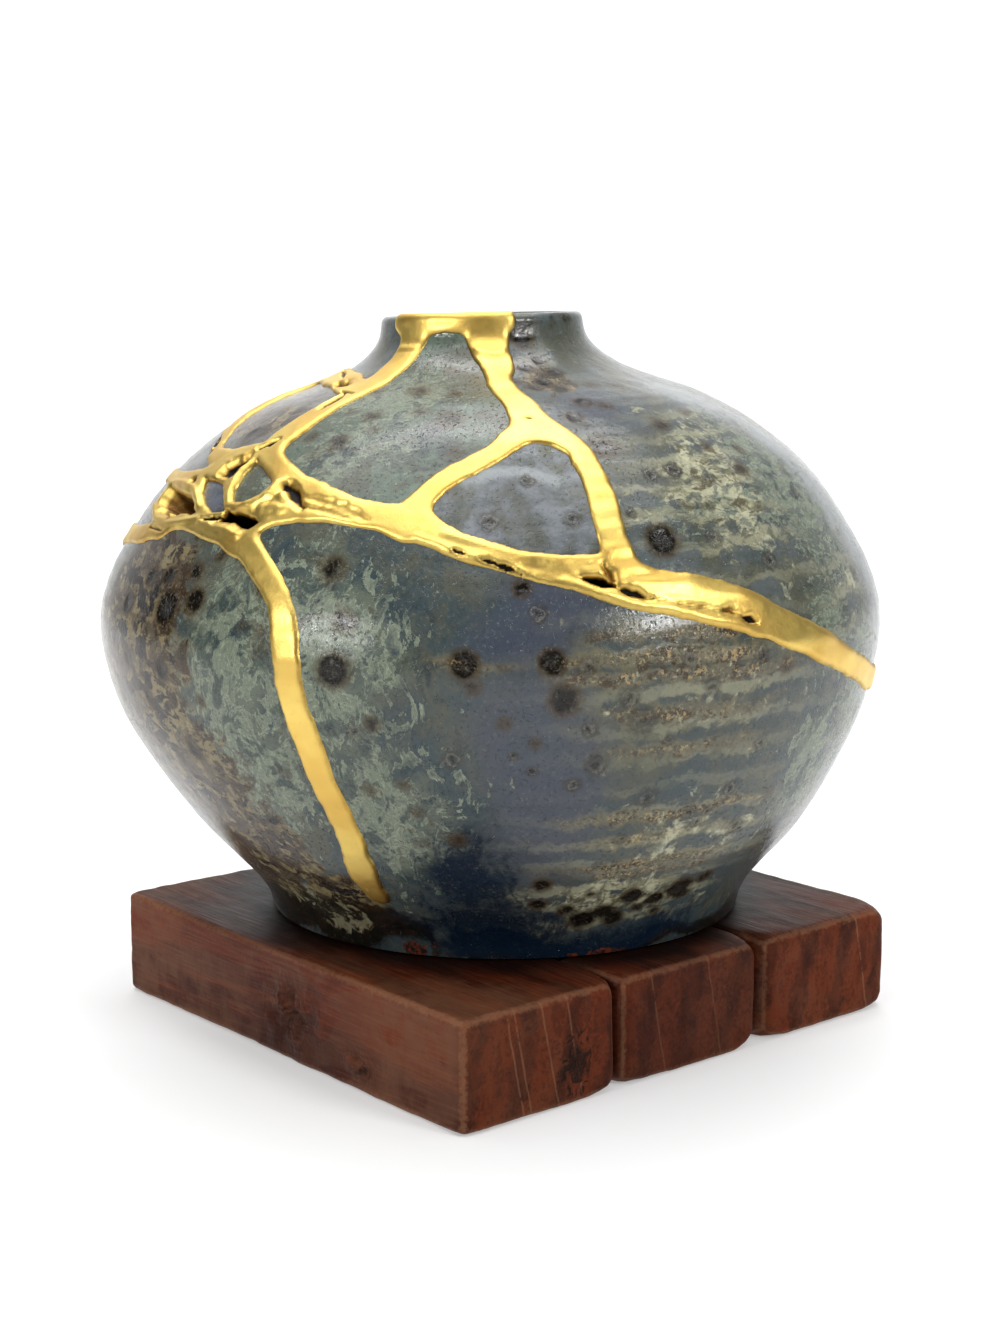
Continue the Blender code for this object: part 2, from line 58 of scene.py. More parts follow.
# The mend: seams are (degrees, share, width) along the middle of each gold line
mend = {
    "columns": 1020, "raise": .52, "edgeDip": .12, "edgeRound": 1.25, "under": .4,
    "keptUnseen": .58,         # share of the faces kept where the gold's inner side is thinned out
    "wobble": .2, "lumps": .045, "grain": .010, "blend": 1.6,
    "seams": {
        "neckLeft": [(-40.5, 1.01, 6), (-40, .94, 6), (-40.5, .90, 6), (-42, .85, 6), (-43.7, .80, 6),
                     (-45, .76, 6.3), (-46.5, .712, 6)],
        "neckRight": [(2, 1.01, 9), (4, .955, 7), (6.3, .925, 6.3), (6.2, .90, 5.2), (6.3, .87, 5),
                      (7.5, .84, 5.3), (9.7, .80, 5.8), (11, .757, 7)],
        "shardTop": [(11, .757, 6.5), (7, .742, 5.5), (3, .718, 4.6), (-1.5, .697, 4.6), (-6.5, .673, 4.4),
                     (-9.8, .645, 4.4), (-11.5, .613, 6)],
        "shardRight": [(11, .757, 7), (14.8, .738, 5.6), (17.6, .712, 5.2), (18.4, .68, 5.3), (18.5, .64, 5.3),
                       (18.2, .60, 5.2), (18.8, .558, 5.6), (19.5, .527, 7)],
        "bellyFront": [(-11.5, .613, 6), (-5, .588, 4.9), (0, .571, 4.9), (5, .558, 4.8), (10, .549, 5.7),
                       (15, .540, 7.2), (19.5, .527, 7.3), (25, .515, 8), (30, .505, 8.2), (35, .492, 7.7),
                       (42, .467, 6.4), (50, .439, 6.1), (60, .405, 5), (73, .369, 4.8), (86, .350, 4.6)],
        "bellyBack": [(86, .350, 4.6), (105, .342, 4.6), (128, .352, 4.8), (150, .385, 4.8), (170, .43, 4.8),
                      (188, .472, 5), (212, .498, 4.8), (237, .515, 4.6), (260, .535, 4.6), (275, .552, 4.4)],
        "bellyLeft": [(-85, .552, 4.4), (-70, .568, 4), (-62, .580, 3.9), (-57, .595, 3), (-52, .596, 3),
                      (-46, .590, 3.7), (-39.5, .583, 5.5)],
        "shoulderUpper": [(-46.5, .712, 5.5), (-40, .690, 4.6), (-34, .669, 4.2), (-27, .652, 3.8),
                          (-20, .633, 3.6), (-11.5, .613, 6)],
        "shoulderLower": [(-39.5, .583, 5), (-37, .603, 3.6), (-33, .619, 3.8), (-26, .623, 3.8),
                          (-20, .619, 3.8), (-11.5, .613, 6)],
        "frontCrack": [(-39.5, .583, 5.2), (-36, .565, 5), (-32.5, .541, 5.1), (-29.5, .516, 4.9),
                       (-28, .49, 4.9), (-26.8, .45, 5.3), (-26, .40, 5.2), (-24.6, .35, 5.2), (-24, .30, 5.2),
                       (-23.3, .25, 5.2), (-23.2, .20, 4.9), (-24, .15, 5.8), (-24, .105, 4.4)],
        "neckToLeft": [(-42, .87, 6), (-48, .868, 6.2), (-55, .880, 6.2), (-63, .889, 6.2), (-74, .893, 6),
                       (-90, .893, 5)],
        "neckToBack": [(-90, .893, 5), (-110, .875, 4.4), (-130, .84, 4.4), (-147, .79, 4.4), (-158, .73, 4.4)],
        "backDrop": [(-158, .73, 4.6), (-167, .67, 4.4), (-171, .60, 4.6), (-176, .53, 4.8), (-172, .472, 5)],
        "leftShoulder": [(-46.5, .712, 6), (-52, .708, 5), (-58, .698, 5), (-64, .700, 3.6), (-69, .715, 3.6),
                         (-76, .745, 3.8), (-84, .79, 3.8), (-91, .84, 3.8), (-95, .888, 4)],
        "leftBand": [(-57, .669, 3.2), (-63, .662, 3.2), (-72, .653, 3.2), (-85, .648, 3.4), (-100, .63, 3.6),
                     (-114, .58, 4), (-120, .518, 4.6)],
        "rim": [(-50.5, .989, 3.6), (-30, .989, 3.6), (-10, .989, 3.6), (13, .989, 3.6)],
    },
    "corner": [(-47, .714), (-41, .690), (-33, .664), (-26, .640), (-27, .620), (-34, .606), (-38, .586),
               (-46, .586), (-57, .590), (-66, .584), (-73, .603), (-75.5, .633), (-72, .655), (-61, .668),
               (-59, .700), (-52, .716)],
    "holes": {
        "side": [(-71.5, .639), (-64, .637), (-58, .632), (-54.8, .619), (-52.6, .609), (-57, .607),
                 (-61.5, .600), (-66.5, .601), (-70.5, .618)],
        "front": [(-46.0, .6035), (-42.6, .6035), (-40.2, .598), (-38.6, .596), (-36.6, .606), (-39, .6125),
                  (-42.5, .617), (-45.4, .618)],
        "slit": [(12.4, .5395), (14.2, .534), (15.8, .528), (17.3, .5275), (16.9, .534), (15, .5385)],
    },
    "funnel": (-56.0, .613, 9.0, .62),   # the side hole narrows inwards to here
    # (points along it, width, depth, how dark its painted shade is) of each groove, slit and pit
    "grooves": [
        ([(-4.6, .5755), (-3.0, .5705)], .9, .45, .95),
        ([(-1.0, .5645), (1.8, .5566), (4.6, .546)], 1.0, .7, 1.0),
        ([(4.8, .556), (7.8, .5480), (12.4, .5420)], 2.6, .26, .5),
        ([(3, .5505), (8, .5415), (11.5, .5375)], .6, .25, .45),
        ([(16.2, .5533), (16.6, .5437), (17.1, .534)], 1.7, .7, .78),
        ([(17.8, .5232), (19.9, .5175), (21.2, .5125)], 1.7, 1.3, 1.0),
        ([(21.2, .5125), (22.6, .5095)], .9, .5, .75),
        ([(22.2, .5095), (26.0, .5028), (29.7, .4959), (33.6, .4887)], .7, .28, .6),
        ([(32.4, .4925), (33.6, .490), (35.4, .4840)], 1.4, .55, .78),
        ([(35.4, .4818), (37.5, .4745)], 1.5, 1.1, 1.0),
        ([(9.6, .776), (10.9, .771)], .9, .45, .85),
        ([(-36.1, .663), (-34.5, .655), (-32.4, .6457), (-29.8, .629)], 2.0, .9, .88),
        ([(-31.3, .6445), (-26.1, .6369), (-22.2, .6277), (-18.1, .6146)], 1.6, .35, .5),
        ([(-29.8, .629), (-24.7, .6246), (-20.6, .6157)], 1.3, .3, .55),
        ([(-60, .877), (-56, .875), (-52.5, .871)], 2.9, 1.1, .92),
        ([(-48.5, .853), (-45, .849), (-41.4, .8464)], 1.0, .5, .85),
        ([(-44.5, .7996), (-44.8, .8238), (-45.1, .849)], 1.9, .8, .85),
        ([(-49.1, .717), (-47.2, .7251), (-45.7, .7351)], 1.6, .7, .82),
        ([(-53.5, .669), (-52, .678), (-50.2, .700)], 3.9, 1.4, .85),
        ([(-65.5, .688), (-67.3, .6992), (-71, .7164), (-76.7, .7315)], 1.9, .9, .85),
        ([(-85, .908), (-70, .900), (-63, .889)], .9, .6, .8),
        ([(-66, .579), (-60, .580)], .8, .5, .8),
        ([(-50.5, .603), (-47.5, .6045), (-45.5, .609)], 1.1, 1.2, 1.0),
        ([(-62, .655), (-60, .651)], 1.3, .6, .8),
    ],
    # (points along it, width, height) of each ridge and lump
    "ridges": [
        ([(-10, .591), (0, .560), (8, .5395), (14, .5225), (20, .5045), (28, .4865), (36, .4655)], 1.5, .22),
        ([(-6, .597), (2, .5785), (9, .5665), (14, .562)], 1.6, .2),
        ([(20, .5315), (26, .524), (33, .510), (39, .490)], 2.2, .16),
        ([(-42, .622), (-39.5, .630), (-37, .644), (-36.5, .660)], 2.6, .75),
        ([(-34.5, .6435), (-33.5, .637)], 2.6, .6),
        ([(-37, .626), (-33, .627)], 2.6, .45),
        ([(-50, .600), (-44, .594), (-40, .586)], 1.8, .4),
        ([(-47.8, .69), (-48.3, .665), (-46.5, .640), (-44.5, .6285)], 1.2, .4),
        ([(-73, .641), (-66, .6475), (-58, .641), (-53, .619)], 1.3, .35),
        ([(-72, .607), (-64, .591), (-57, .593), (-51, .603)], 1.3, .35),
        ([(-2.5, .947), (5, .940), (12, .945)], 2.2, .35),
        ([(-50, .955), (-32, .955)], 1.5, .15),
    ],
}

chips = {
    "greyChip": [(-58, .661), (-54, .660), (-51, .655), (-49.3, .643), (-47.6, .630), (-46.2, .618),
                 (-48.8, .614), (-52, .625), (-55.5, .641)],
    "greenChip": [(-46.9, .697), (-43.5, .685), (-40.3, .673), (-38.9, .661), (-40, .645), (-42.5, .634),
                  (-45.2, .633), (-46.9, .650), (-47.5, .675)],
}

# A place inside each shard, its node in the frame and its slot in the record
shards = {
    "lowerBody": ((0, 0.3), "lower_body", "bowl_glaze"),
    "frontShoulderShard": ((-15, 0.80), "front_shoulder_shard", "green_glaze"),
    "triangleShard": ((6, 0.64), "triangle_shard", "blue_glaze"),
    "neckAndShoulderShard": ((90, 0.70), "neck_and_shoulder_shard", "shoulder_glaze"),
    "leftShoulderShard": ((-62, 0.79), "left_shoulder_shard", "pale_glaze"),
    "backLeftShard": ((-115, 0.72), "back_left_shard", "pale_glaze"),
    "leftEdgeShard": ((-88, 0.60), "left_edge_shard", "pale_glaze"),
    "greyChip": (None, "grey_chip", "chip_glaze"),
    "greenChip": (None, "green_chip", "green_glaze"),
}


# The wall's outline and its flat map, where angles are true
def smoothLine(points, step):
    points = np.array(points, float)
    gaps = np.linalg.norm(np.diff(points, axis=0), axis=1)
    at = np.concatenate([[0], np.cumsum(gaps)])
    slopes = np.empty_like(points)
    slopes[1:-1] = (points[2:] - points[:-2]) / (at[2:] - at[:-2])[:, None]
    slopes[0] = (points[1] - points[0]) / gaps[0]
    slopes[-1] = (points[-1] - points[-2]) / gaps[-1]
    line = []
    for i, gap in enumerate(gaps):
        count = max(1, round(gap / step))
        t = np.arange(count)[:, None] / count
        line.append((2 * t**3 - 3 * t**2 + 1) * points[i] + (t**3 - 2 * t**2 + t) * gap * slopes[i]
                    + (3 * t**2 - 2 * t**3) * points[i + 1] + (t**3 - t**2) * gap * slopes[i + 1])
    line.append(points[-1:])
    return np.concatenate(line)


def ease(value, low, high):
    t = np.clip((value - low) / (high - low), 0, 1)
    return t * t * (3 - 2 * t)


def softNoise(points, size, seed, octaves=1):
    # smooth lattice noise from about -1 to 1, the same on every run
    total, weight = np.zeros(len(points)), 0.0
    for octave in range(octaves):
        scaled = points / (size * 0.5 ** octave) + 17.3 * (octave + 1)
        cell = np.floor(scaled).astype(np.int64)
        t = scaled - cell
        t = t * t * (3 - 2 * t)
        value = np.zeros(len(points))
        for corner in itertools.product((0, 1), repeat=3):
            at = cell + np.array(corner)
            mix = at[:, 0] * 73856093 ^ at[:, 1] * 19349663 ^ at[:, 2] * 83492791 ^ (seed + octave) * 26544357
            mix = ((mix ^ (mix >> 13)) * 1274126177) & 0x7fffffff
            mix = ((mix ^ (mix >> 15)) * 668265263) & 0x7fffffff
            share = np.prod(np.where(np.array(corner) == 1, t, 1 - t), axis=1)
            value += share * ((mix % 200003) / 100001.5 - 1)
        total += value * 0.6 ** octave
        weight += 0.6 ** octave
    return total / weight * 1.5


class Wall:
    def __init__(self):
        swell = pot["bellyRadius"] - pot["footRadius"]
        shoulder = pot["bellyRadius"] - pot["neckRadius"]
        rise = pot["height"] - pot["bellyHeight"]
        points = [(pot["footRadius"] + swell * w, pot["bellyHeight"] * t) for t, w in pot["lowerCurve"]]
        points += [(pot["bellyRadius"] - shoulder * w, pot["bellyHeight"] + rise * t)
                   for t, w in pot["upperCurve"][1:]]
        self.outer = smoothLine(points, 0.4)
        lengths = np.linalg.norm(np.diff(self.outer, axis=0), axis=1)
        self.along = np.concatenate([[0], np.cumsum(lengths)])
        self.length = self.along[-1]
        self.mapHeight = np.concatenate([[0],
                                         np.cumsum(lengths * 2 / (self.outer[1:, 0] + self.outer[:-1, 0]))])
        slope = np.gradient(self.outer, self.along, axis=0)
        self.slope = slope / np.linalg.norm(slope, axis=1)[:, None]

    def mapHeightAt(self, share):
        beyond = np.maximum(np.asarray(share, float) - 1, 0) * self.length / pot["neckRadius"]
        return np.interp(share * self.length, self.along, self.mapHeight) + beyond

    def shareAt(self, mapHeight):
        return np.interp(mapHeight, self.mapHeight, self.along) / self.length

    def radiusAt(self, mapHeight):
        return np.interp(mapHeight, self.mapHeight, self.outer[:, 0])

    def inwards(self, share, depth):
        s = share * self.length
        radius, height = (np.interp(s, self.along, self.outer[:, k]) for k in (0, 1))
        rise, lean = np.interp(s, self.along, self.slope[:, 1]), np.interp(s, self.along, self.slope[:, 0])
        return radius - rise * depth, height + lean * depth

    def lipCut(self, share):
        # how far each side of the lip is rounded back
        left = np.clip(pot["lipRound"] - (1 - share) * self.length, 0, pot["lipRound"])
        return pot["lipRound"] - np.sqrt(np.maximum(pot["lipRound"]**2 - left**2, 0))

    def outerPoint(self, share, lift=0.0):
        return self.inwards(share, self.lipCut(share) - lift)

    def innerPoint(self, share):
        lip = ease(share, 0.8, 1.0)
        depth = pot["wall"] + (pot["lip"] - pot["wall"]) * lip - self.lipCut(share)
        radius, height = self.inwards(np.maximum(share, pot["heelShare"]), depth)
        t = np.clip(share / pot["heelShare"], 0, 1)
        start = pot["footRadius"] - pot["footRing"]
        corner = radius - (radius - start) * 0.3
        low = share < pot["heelShare"]
        radius = np.where(low, start * (1 - t)**2 + corner * 2 * t * (1 - t) + radius * t**2, radius)
        height = np.where(low, pot["floor"] * (1 - t * t) + height * t**2, height)
        return radius, height


wall = Wall()
turnScale = math.pi / 180


def sway(radius, turn, height):
    # a point of the pot as it stands: the shoulder leans to the left, the foot is pushed to the right
    across, away = radius * np.sin(turn), -radius * np.cos(turn)
    lean = pot["shoulderLean"] * turnScale * ease(height, pot["leanStart"], pot["leanStart"] + pot["leanRise"])
    across = across - (height - pot["bellyHeight"]) * lean \
        + pot["footShift"] * (1 - ease(height, 0, pot["bellyHeight"] - 6))
    front = pot["frontBearing"] * turnScale
    right = np.array([math.cos(front + math.pi / 2), math.sin(front + math.pi / 2), 0])
    back = np.array([-math.cos(front), -math.sin(front), 0])
    up = np.array([0, 0, 1.0])
    rise = pot["footLevel"] + height + radius * np.sin(turn) * lean
    return across[:, None] * right + away[:, None] * back + rise[:, None] * up


def mapPoint(degrees, share):
    return degrees * turnScale, float(wall.mapHeightAt(share))


class Grid:
    # a grid of places over the wall's map, and the distance of each from the gold's edge
    def __init__(self, columns):
        self.columns = columns
        self.step = 2 * math.pi / columns
        top = wall.mapHeight[-1]
        self.rows = round(top / self.step) + 1
        self.turn, self.high = np.meshgrid(-math.pi + self.step * np.arange(columns),
                                           np.linspace(0, top, self.rows))
        self.rowStep = top / (self.rows - 1)
        self.share = wall.shareAt(self.high)
        self.radius = wall.radiusAt(self.high)
        rise, height = wall.outerPoint(self.share.ravel())
        self.points = sway(rise, self.turn.ravel(), height)

    def window(self, turns, highs, reach):
        # rows and columns within reach, in millimetres, of a stretch of the map
        radius = wall.radiusAt(np.clip(np.mean(highs), 0, wall.mapHeight[-1]))
        spread = reach / radius * 1.25
        first = max(0, int((min(highs) - spread) / self.rowStep))
        last = min(self.rows, int((max(highs) + spread) / self.rowStep) + 2)
        left = int(math.floor((min(turns) - spread + math.pi) / self.step))
        right = int(math.ceil((max(turns) + spread + math.pi) / self.step)) + 1
        columns = np.arange(left, right)
        turn = -math.pi + columns * self.step
        return np.arange(first, last), columns % self.columns, turn

    def lineField(self, points, reach=8.0):
        # for each place, how far it lies inside a line that is as wide as its points say
        field = np.full((self.rows, self.columns), -float(reach))
        line = np.array([(*mapPoint(d, s), w / 2) for d, s, w in points])
        scale = wall.radiusAt(min(np.mean(line[:, 1]), wall.mapHeight[-1]))
        line[:, 2] /= scale
        line = smoothLine(line, 1.6 / scale)
        line[:, 2] *= scale
        for start, end in zip(line[:-1], line[1:]):
            rows, columns, turn = self.window((start[0], end[0]), (start[1], end[1]), reach)
            if len(rows) == 0:
                continue
            along = end[:2] - start[:2]
            du = turn[None, :] - start[0]
            dv = self.high[rows, 0][:, None] - start[1]
            t = np.clip((du * along[0] + dv * along[1]) / max(along @ along, 1e-12), 0, 1)
            far = np.hypot(du - t * along[0], dv - t * along[1]) * self.radius[rows, 0][:, None]
            value = start[2] + (end[2] - start[2]) * t - far
            place = np.ix_(rows, columns)
            field[place] = np.maximum(field[place], value)
        return field

    def patchField(self, points, reach=6.0):
        # for each place, how far it lies inside an outline
        field = np.full((self.rows, self.columns), -reach)
        corners = np.array([mapPoint(*p) for p in points])
        rows, columns, turn = self.window(corners[:, 0], corners[:, 1], reach)
        u, v = np.meshgrid(turn, self.high[rows, 0])
        far, inside = np.full(u.shape, 1e9), np.zeros(u.shape, bool)
        for a, b in zip(corners, np.roll(corners, -1, axis=0)):
            along = b - a
            t = np.clip(((u - a[0]) * along[0] + (v - a[1]) * along[1]) / (along @ along), 0, 1)
            far = np.minimum(far, np.hypot(u - a[0] - t * along[0], v - a[1] - t * along[1]))
            crosses = (a[1] > v) != (b[1] > v)
            with np.errstate(divide="ignore", invalid="ignore"):
                inside ^= crosses & (u < a[0] + (v - a[1]) / along[1] * along[0])
        value = np.where(inside, far, -far) * self.radius[rows, 0][:, None]
        place = np.ix_(rows, columns)
        field[place] = np.maximum(field[place], value)
        return field

    def goldField(self):
        blend = mend["blend"]
        total = np.zeros((self.rows, self.columns))
        for points in mend["seams"].values():
            total += np.exp(blend * self.lineField(points))
        total += np.exp(blend * self.patchField(mend["corner"]))
        gold = np.log(total) / blend
        gold += mend["wobble"] * self.noise(gold > -2.5, (4.5, 3), (1.5, 4))
        for outline in chips.values():
            gold = np.minimum(gold, -self.chipField(outline))
        self.holes = np.full(gold.shape, -9.0)
        for outline in mend["holes"].values():
            self.holes = np.maximum(self.holes, self.patchField(outline))
        gold = np.minimum(gold, -self.holes + 0.22 * self.noise(self.holes > -2, (1.8, 9), (0.9, 10)))
        return gold

    def noise(self, mask, *kinds):
        # noise of a few sizes where a mask is true, each weaker than the last
        value = np.zeros(mask.shape)
        near = self.points[mask.ravel()]
        value[mask] = sum(0.55 ** k * softNoise(near, size, seed) for k, (size, seed) in enumerate(kinds))
        return value

    def chipField(self, outline):
        field = self.patchField(outline)
        return field + 0.1 * self.noise(field > -2, (1.4, 6))

    def spread(self, mask, free):
        # the whole connected area of free places that a mask touches
        while True:
            wider = mask | np.roll(mask, 1, 1) | np.roll(mask, -1, 1)
            wider[1:] |= mask[:-1]
            wider[:-1] |= mask[1:]
            wider &= free
            if wider.sum() == mask.sum():
                return mask
            mask = wider

    def shardFields(self, gold):
        fields, taken = {}, gold >= 0
        cell = self.radius[:, 0] * self.step
        for name, (seed, _, _) in shards.items():
            if seed is None:
                fields[name] = self.chipField(chips[name]) + mend["under"]
                taken |= fields[name] > mend["under"]
                continue
            turn, high = mapPoint(*seed)
            mask = np.zeros(gold.shape, bool)
            mask[round(high / self.rowStep), round((turn + math.pi) / self.step) % self.columns] = True
            mask = self.spread(mask, (gold < 0) & (self.holes < 0))
            taken = taken | mask
            wide = mask
            for ring in range(1, 5):
                near = wide.copy()
                for shift in (1, -1):
                    near |= np.roll(wide, shift, 1)
                up, down = near.copy(), near.copy()
                up[1:], down[:-1] = near[:-1], near[1:]
                near |= up | down
                wide = np.where(((cell * ring <= 1.3) | (ring == 1))[:, None], near, wide)
            fields[name] = np.where(wide, mend["under"] - gold, -1.0)
        self.slivers = ~taken & (self.holes < 0)
        return fields


def cutGrid(grid, field, snap=0.3):
    # triangles of the map where the field is positive, cut along its zero line
    rows, columns = field.shape
    cell = grid.radius * grid.step
    turn, high, value = grid.turn.copy(), grid.high.copy(), field.copy()
    wide = np.concatenate([value[:, -1:], value, value[:, :1]], axis=1)
    slopeTurn = (wide[:, 2:] - wide[:, :-2]) / (2 * cell)
    slopeHigh = np.gradient(value, axis=0) / cell
    steep = np.maximum(slopeTurn**2 + slopeHigh**2, 0.2)
    near = np.abs(value) < snap * cell
    near[0], near[-1] = False, False
    turn[near] -= (value * slopeTurn / steep / grid.radius)[near]
    high[near] -= (value * slopeHigh / steep / grid.radius)[near]
    value[near] = 0
    number = np.arange(rows * columns).reshape(rows, columns)
    a, b = number[:-1], np.roll(number, -1, 1)[:-1]
    d, c = number[1:], np.roll(number, -1, 1)[1:]
    odd = (np.add.outer(np.arange(rows - 1), np.arange(columns)) % 2).astype(bool)
    first = np.where(odd[..., None], np.stack([a, b, c], -1), np.stack([a, b, d], -1)).reshape(-1, 3)
    second = np.where(odd[..., None], np.stack([a, c, d], -1), np.stack([b, c, d], -1)).reshape(-1, 3)
    triangles = np.concatenate([first, second])
    flat = value.ravel()
    signs = np.sign(flat[triangles])
    whole = (signs.min(axis=1) >= 0) & (signs.max(axis=1) > 0)
    crossed = (signs.min(axis=1) < 0) & (signs.max(axis=1) > 0)
    places = [turn.ravel(), high.ravel(), flat]
    cuts, extra, made = {}, [], []

    def cut(p, q):
        key = (min(p, q), max(p, q))
        if key not in cuts:
            t = flat[key[0]] / (flat[key[0]] - flat[key[1]])
            u0, u1 = places[0][key[0]], places[0][key[1]]
            u1 += 2 * math.pi * round((u0 - u1) / (2 * math.pi))
            v0, v1 = places[1][key[0]], places[1][key[1]]
            cuts[key] = len(flat) + len(extra)
            extra.append((u0 + (u1 - u0) * t, v0 + (v1 - v0) * t, 0.0))
        return cuts[key]

    for corners in triangles[crossed].tolist():
        loop = []
        for p, q in zip(corners, corners[1:] + corners[:1]):
            if flat[p] >= 0:
                loop.append(p)
            if flat[p] * flat[q] < 0:
                loop.append(cut(p, q))
        made.append(loop[:3])
        if len(loop) == 4:
            made.append([loop[0], loop[2], loop[3]])
    triangles = np.concatenate([triangles[whole], np.array(made, int).reshape(-1, 3)])
    extra = np.array(extra).reshape(-1, 3)
    turn, high, value = (np.concatenate([places[k], extra[:, k]]) for k in range(3))
    return turn, high, value, triangles


def openEdges(triangles):
    edges = np.concatenate([triangles[:, [0, 1]], triangles[:, [1, 2]], triangles[:, [2, 0]]])
    keys = np.sort(edges, axis=1)
    _, where, counts = np.unique(keys, axis=0, return_inverse=True, return_counts=True)
    return edges[counts[where.ravel()] == 1]


def addObject(name, data, place=(0, 0, 0), turned=(0, 0, 0)):
    thing = bpy.data.objects.new(name, data)
    thing.location, thing.rotation_euler = place, turned
    bpy.context.collection.objects.link(thing)
    return thing


def makePiece(name, points, faces, node, material, attributes, sharpAngle=None, unseen=None):
    # one mesh object from millimetre points, riding on the only body; unseen points keep fewer faces
    mesh = bpy.data.meshes.new(name)
    mesh.from_pydata((points * 0.001).tolist(), [], faces)
    for key, values in attributes.items():
        kind = "FLOAT_VECTOR" if values.ndim == 2 else "FLOAT"
        layer = mesh.attributes.new(key, kind, "POINT")
        layer.data.foreach_set("vector" if values.ndim == 2 else "value", values.astype(np.float32).ravel())
    mesh.shade_smooth()
    if sharpAngle:
        mesh.set_sharp_from_angle(angle=math.radians(sharpAngle))
    mesh.validate()
    mesh.materials.append(material)
    piece = addObject(name, mesh)
    if unseen is not None:
        piece.vertex_groups.new(name="unseen").add(unseen.tolist(), 1.0, "REPLACE")
        thinner = piece.modifiers.new("thinner", "DECIMATE")
        thinner.ratio, thinner.vertex_group = mend["keptUnseen"], "unseen"
        mesh = bpy.data.meshes.new_from_object(piece.evaluated_get(bpy.context.evaluated_depsgraph_get()))
        piece.modifiers.clear()
        piece.data = mesh
    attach(piece, "root")
    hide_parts(node)
    print("made", name, sum(len(face.vertices) - 2 for face in mesh.polygons), "triangles")


def closeSides(outer, inner, triangles, between, shift=None):
    # joins an outer and an inner sheet with side walls of a few steps
    used = np.unique(triangles)
    renumber = np.full(len(outer), -1)
    renumber[used] = np.arange(len(used))
    outer, inner = outer[used], inner[used]
    sheet = renumber[triangles]
    count = len(used)
    faces = sheet.tolist() + (sheet[:, ::-1] + count).tolist()
    points, sources = [outer, inner], [np.arange(count), np.arange(count)]
    edges = openEdges(sheet)
    rimUsed = np.unique(edges)
    levels = [dict(zip(rimUsed.tolist(), rimUsed.tolist()))]
    depth = [np.zeros(count), np.ones(count)]
    total = 2 * count
    for level in range(1, between + 1):
        t = level / (between + 1)
        ring = outer[rimUsed] * (1 - t) + inner[rimUsed] * t
        if shift is not None:
            ring = shift(ring, t)
        points.append(ring)
        sources.append(rimUsed)
        depth.append(np.full(len(rimUsed), t))
        levels.append(dict(zip(rimUsed.tolist(), range(total, total + len(rimUsed)))))
        total += len(rimUsed)
    levels.append({k: k + count for k in rimUsed.tolist()})
    for a, b in edges.tolist():
        for above, below in zip(levels[:-1], levels[1:]):
            faces.append((above[b], above[a], below[a], below[b]))
    return np.concatenate(points), faces, used[np.concatenate(sources)], np.concatenate(depth)


# Shader nodes written as Python expressions
class Value:
    # a node's output; operators on it add Math nodes
    def __init__(self, shader, socket):
        self.shader, self.socket = shader, socket

    def maths(self, operation, *others, turned=False):
        inputs = [*others, self] if turned else [self, *others]
        return self.shader.add("ShaderNodeMath", {"operation": operation}, dict(enumerate(inputs)))

    def __add__(self, other):
        return self.maths("ADD", other)

    def __sub__(self, other):
        return self.maths("SUBTRACT", other)

    def __rsub__(self, other):
        return self.maths("SUBTRACT", other, turned=True)

    def __mul__(self, other):
        return self.maths("MULTIPLY", other)

    def __truediv__(self, other):
        return self.maths("DIVIDE", other)

    __radd__ = __add__
    __rmul__ = __mul__

    def larger(self, other):
        return self.maths("MAXIMUM", other)

    def smaller(self, other):
        return self.maths("MINIMUM", other)

    def size(self):
        return self.maths("ABSOLUTE")

    def step(self, low, high, start=0.0, end=1.0, kind="SMOOTHSTEP"):
        # start below low, end above high, and smooth between
        return self.shader.add("ShaderNodeMapRange", {"interpolation_type": kind},
                               {0: self, 1: low, 2: high, 3: start, 4: end})


class Nodes:
    # a tree of nodes, where each one comes from add
    def __init__(self, owner, tones):
        owner.use_nodes = True
        self.nodes, self.links = owner.node_tree.nodes, owner.node_tree.links
        self.tones = {key: colour(*value) for key, value in tones.items() if isinstance(value, tuple)}

    def add(self, kind, settings=None, values=None, output=0):
        node = self.nodes.new(kind)
        for key, value in (settings or {}).items():
            setattr(node, key, value)
        for key, value in (values or {}).items():
            self.put(node.inputs[key], value)
        return Value(self, node.outputs[output])

    def put(self, socket, value):
        if isinstance(value, str):
            value = self.tones[value]
        if isinstance(value, Value):
            self.links.new(value.socket, socket)
        elif socket.type == "RGBA" and len(value) == 3:
            socket.default_value = (*value, 1)
        else:
            socket.default_value = value


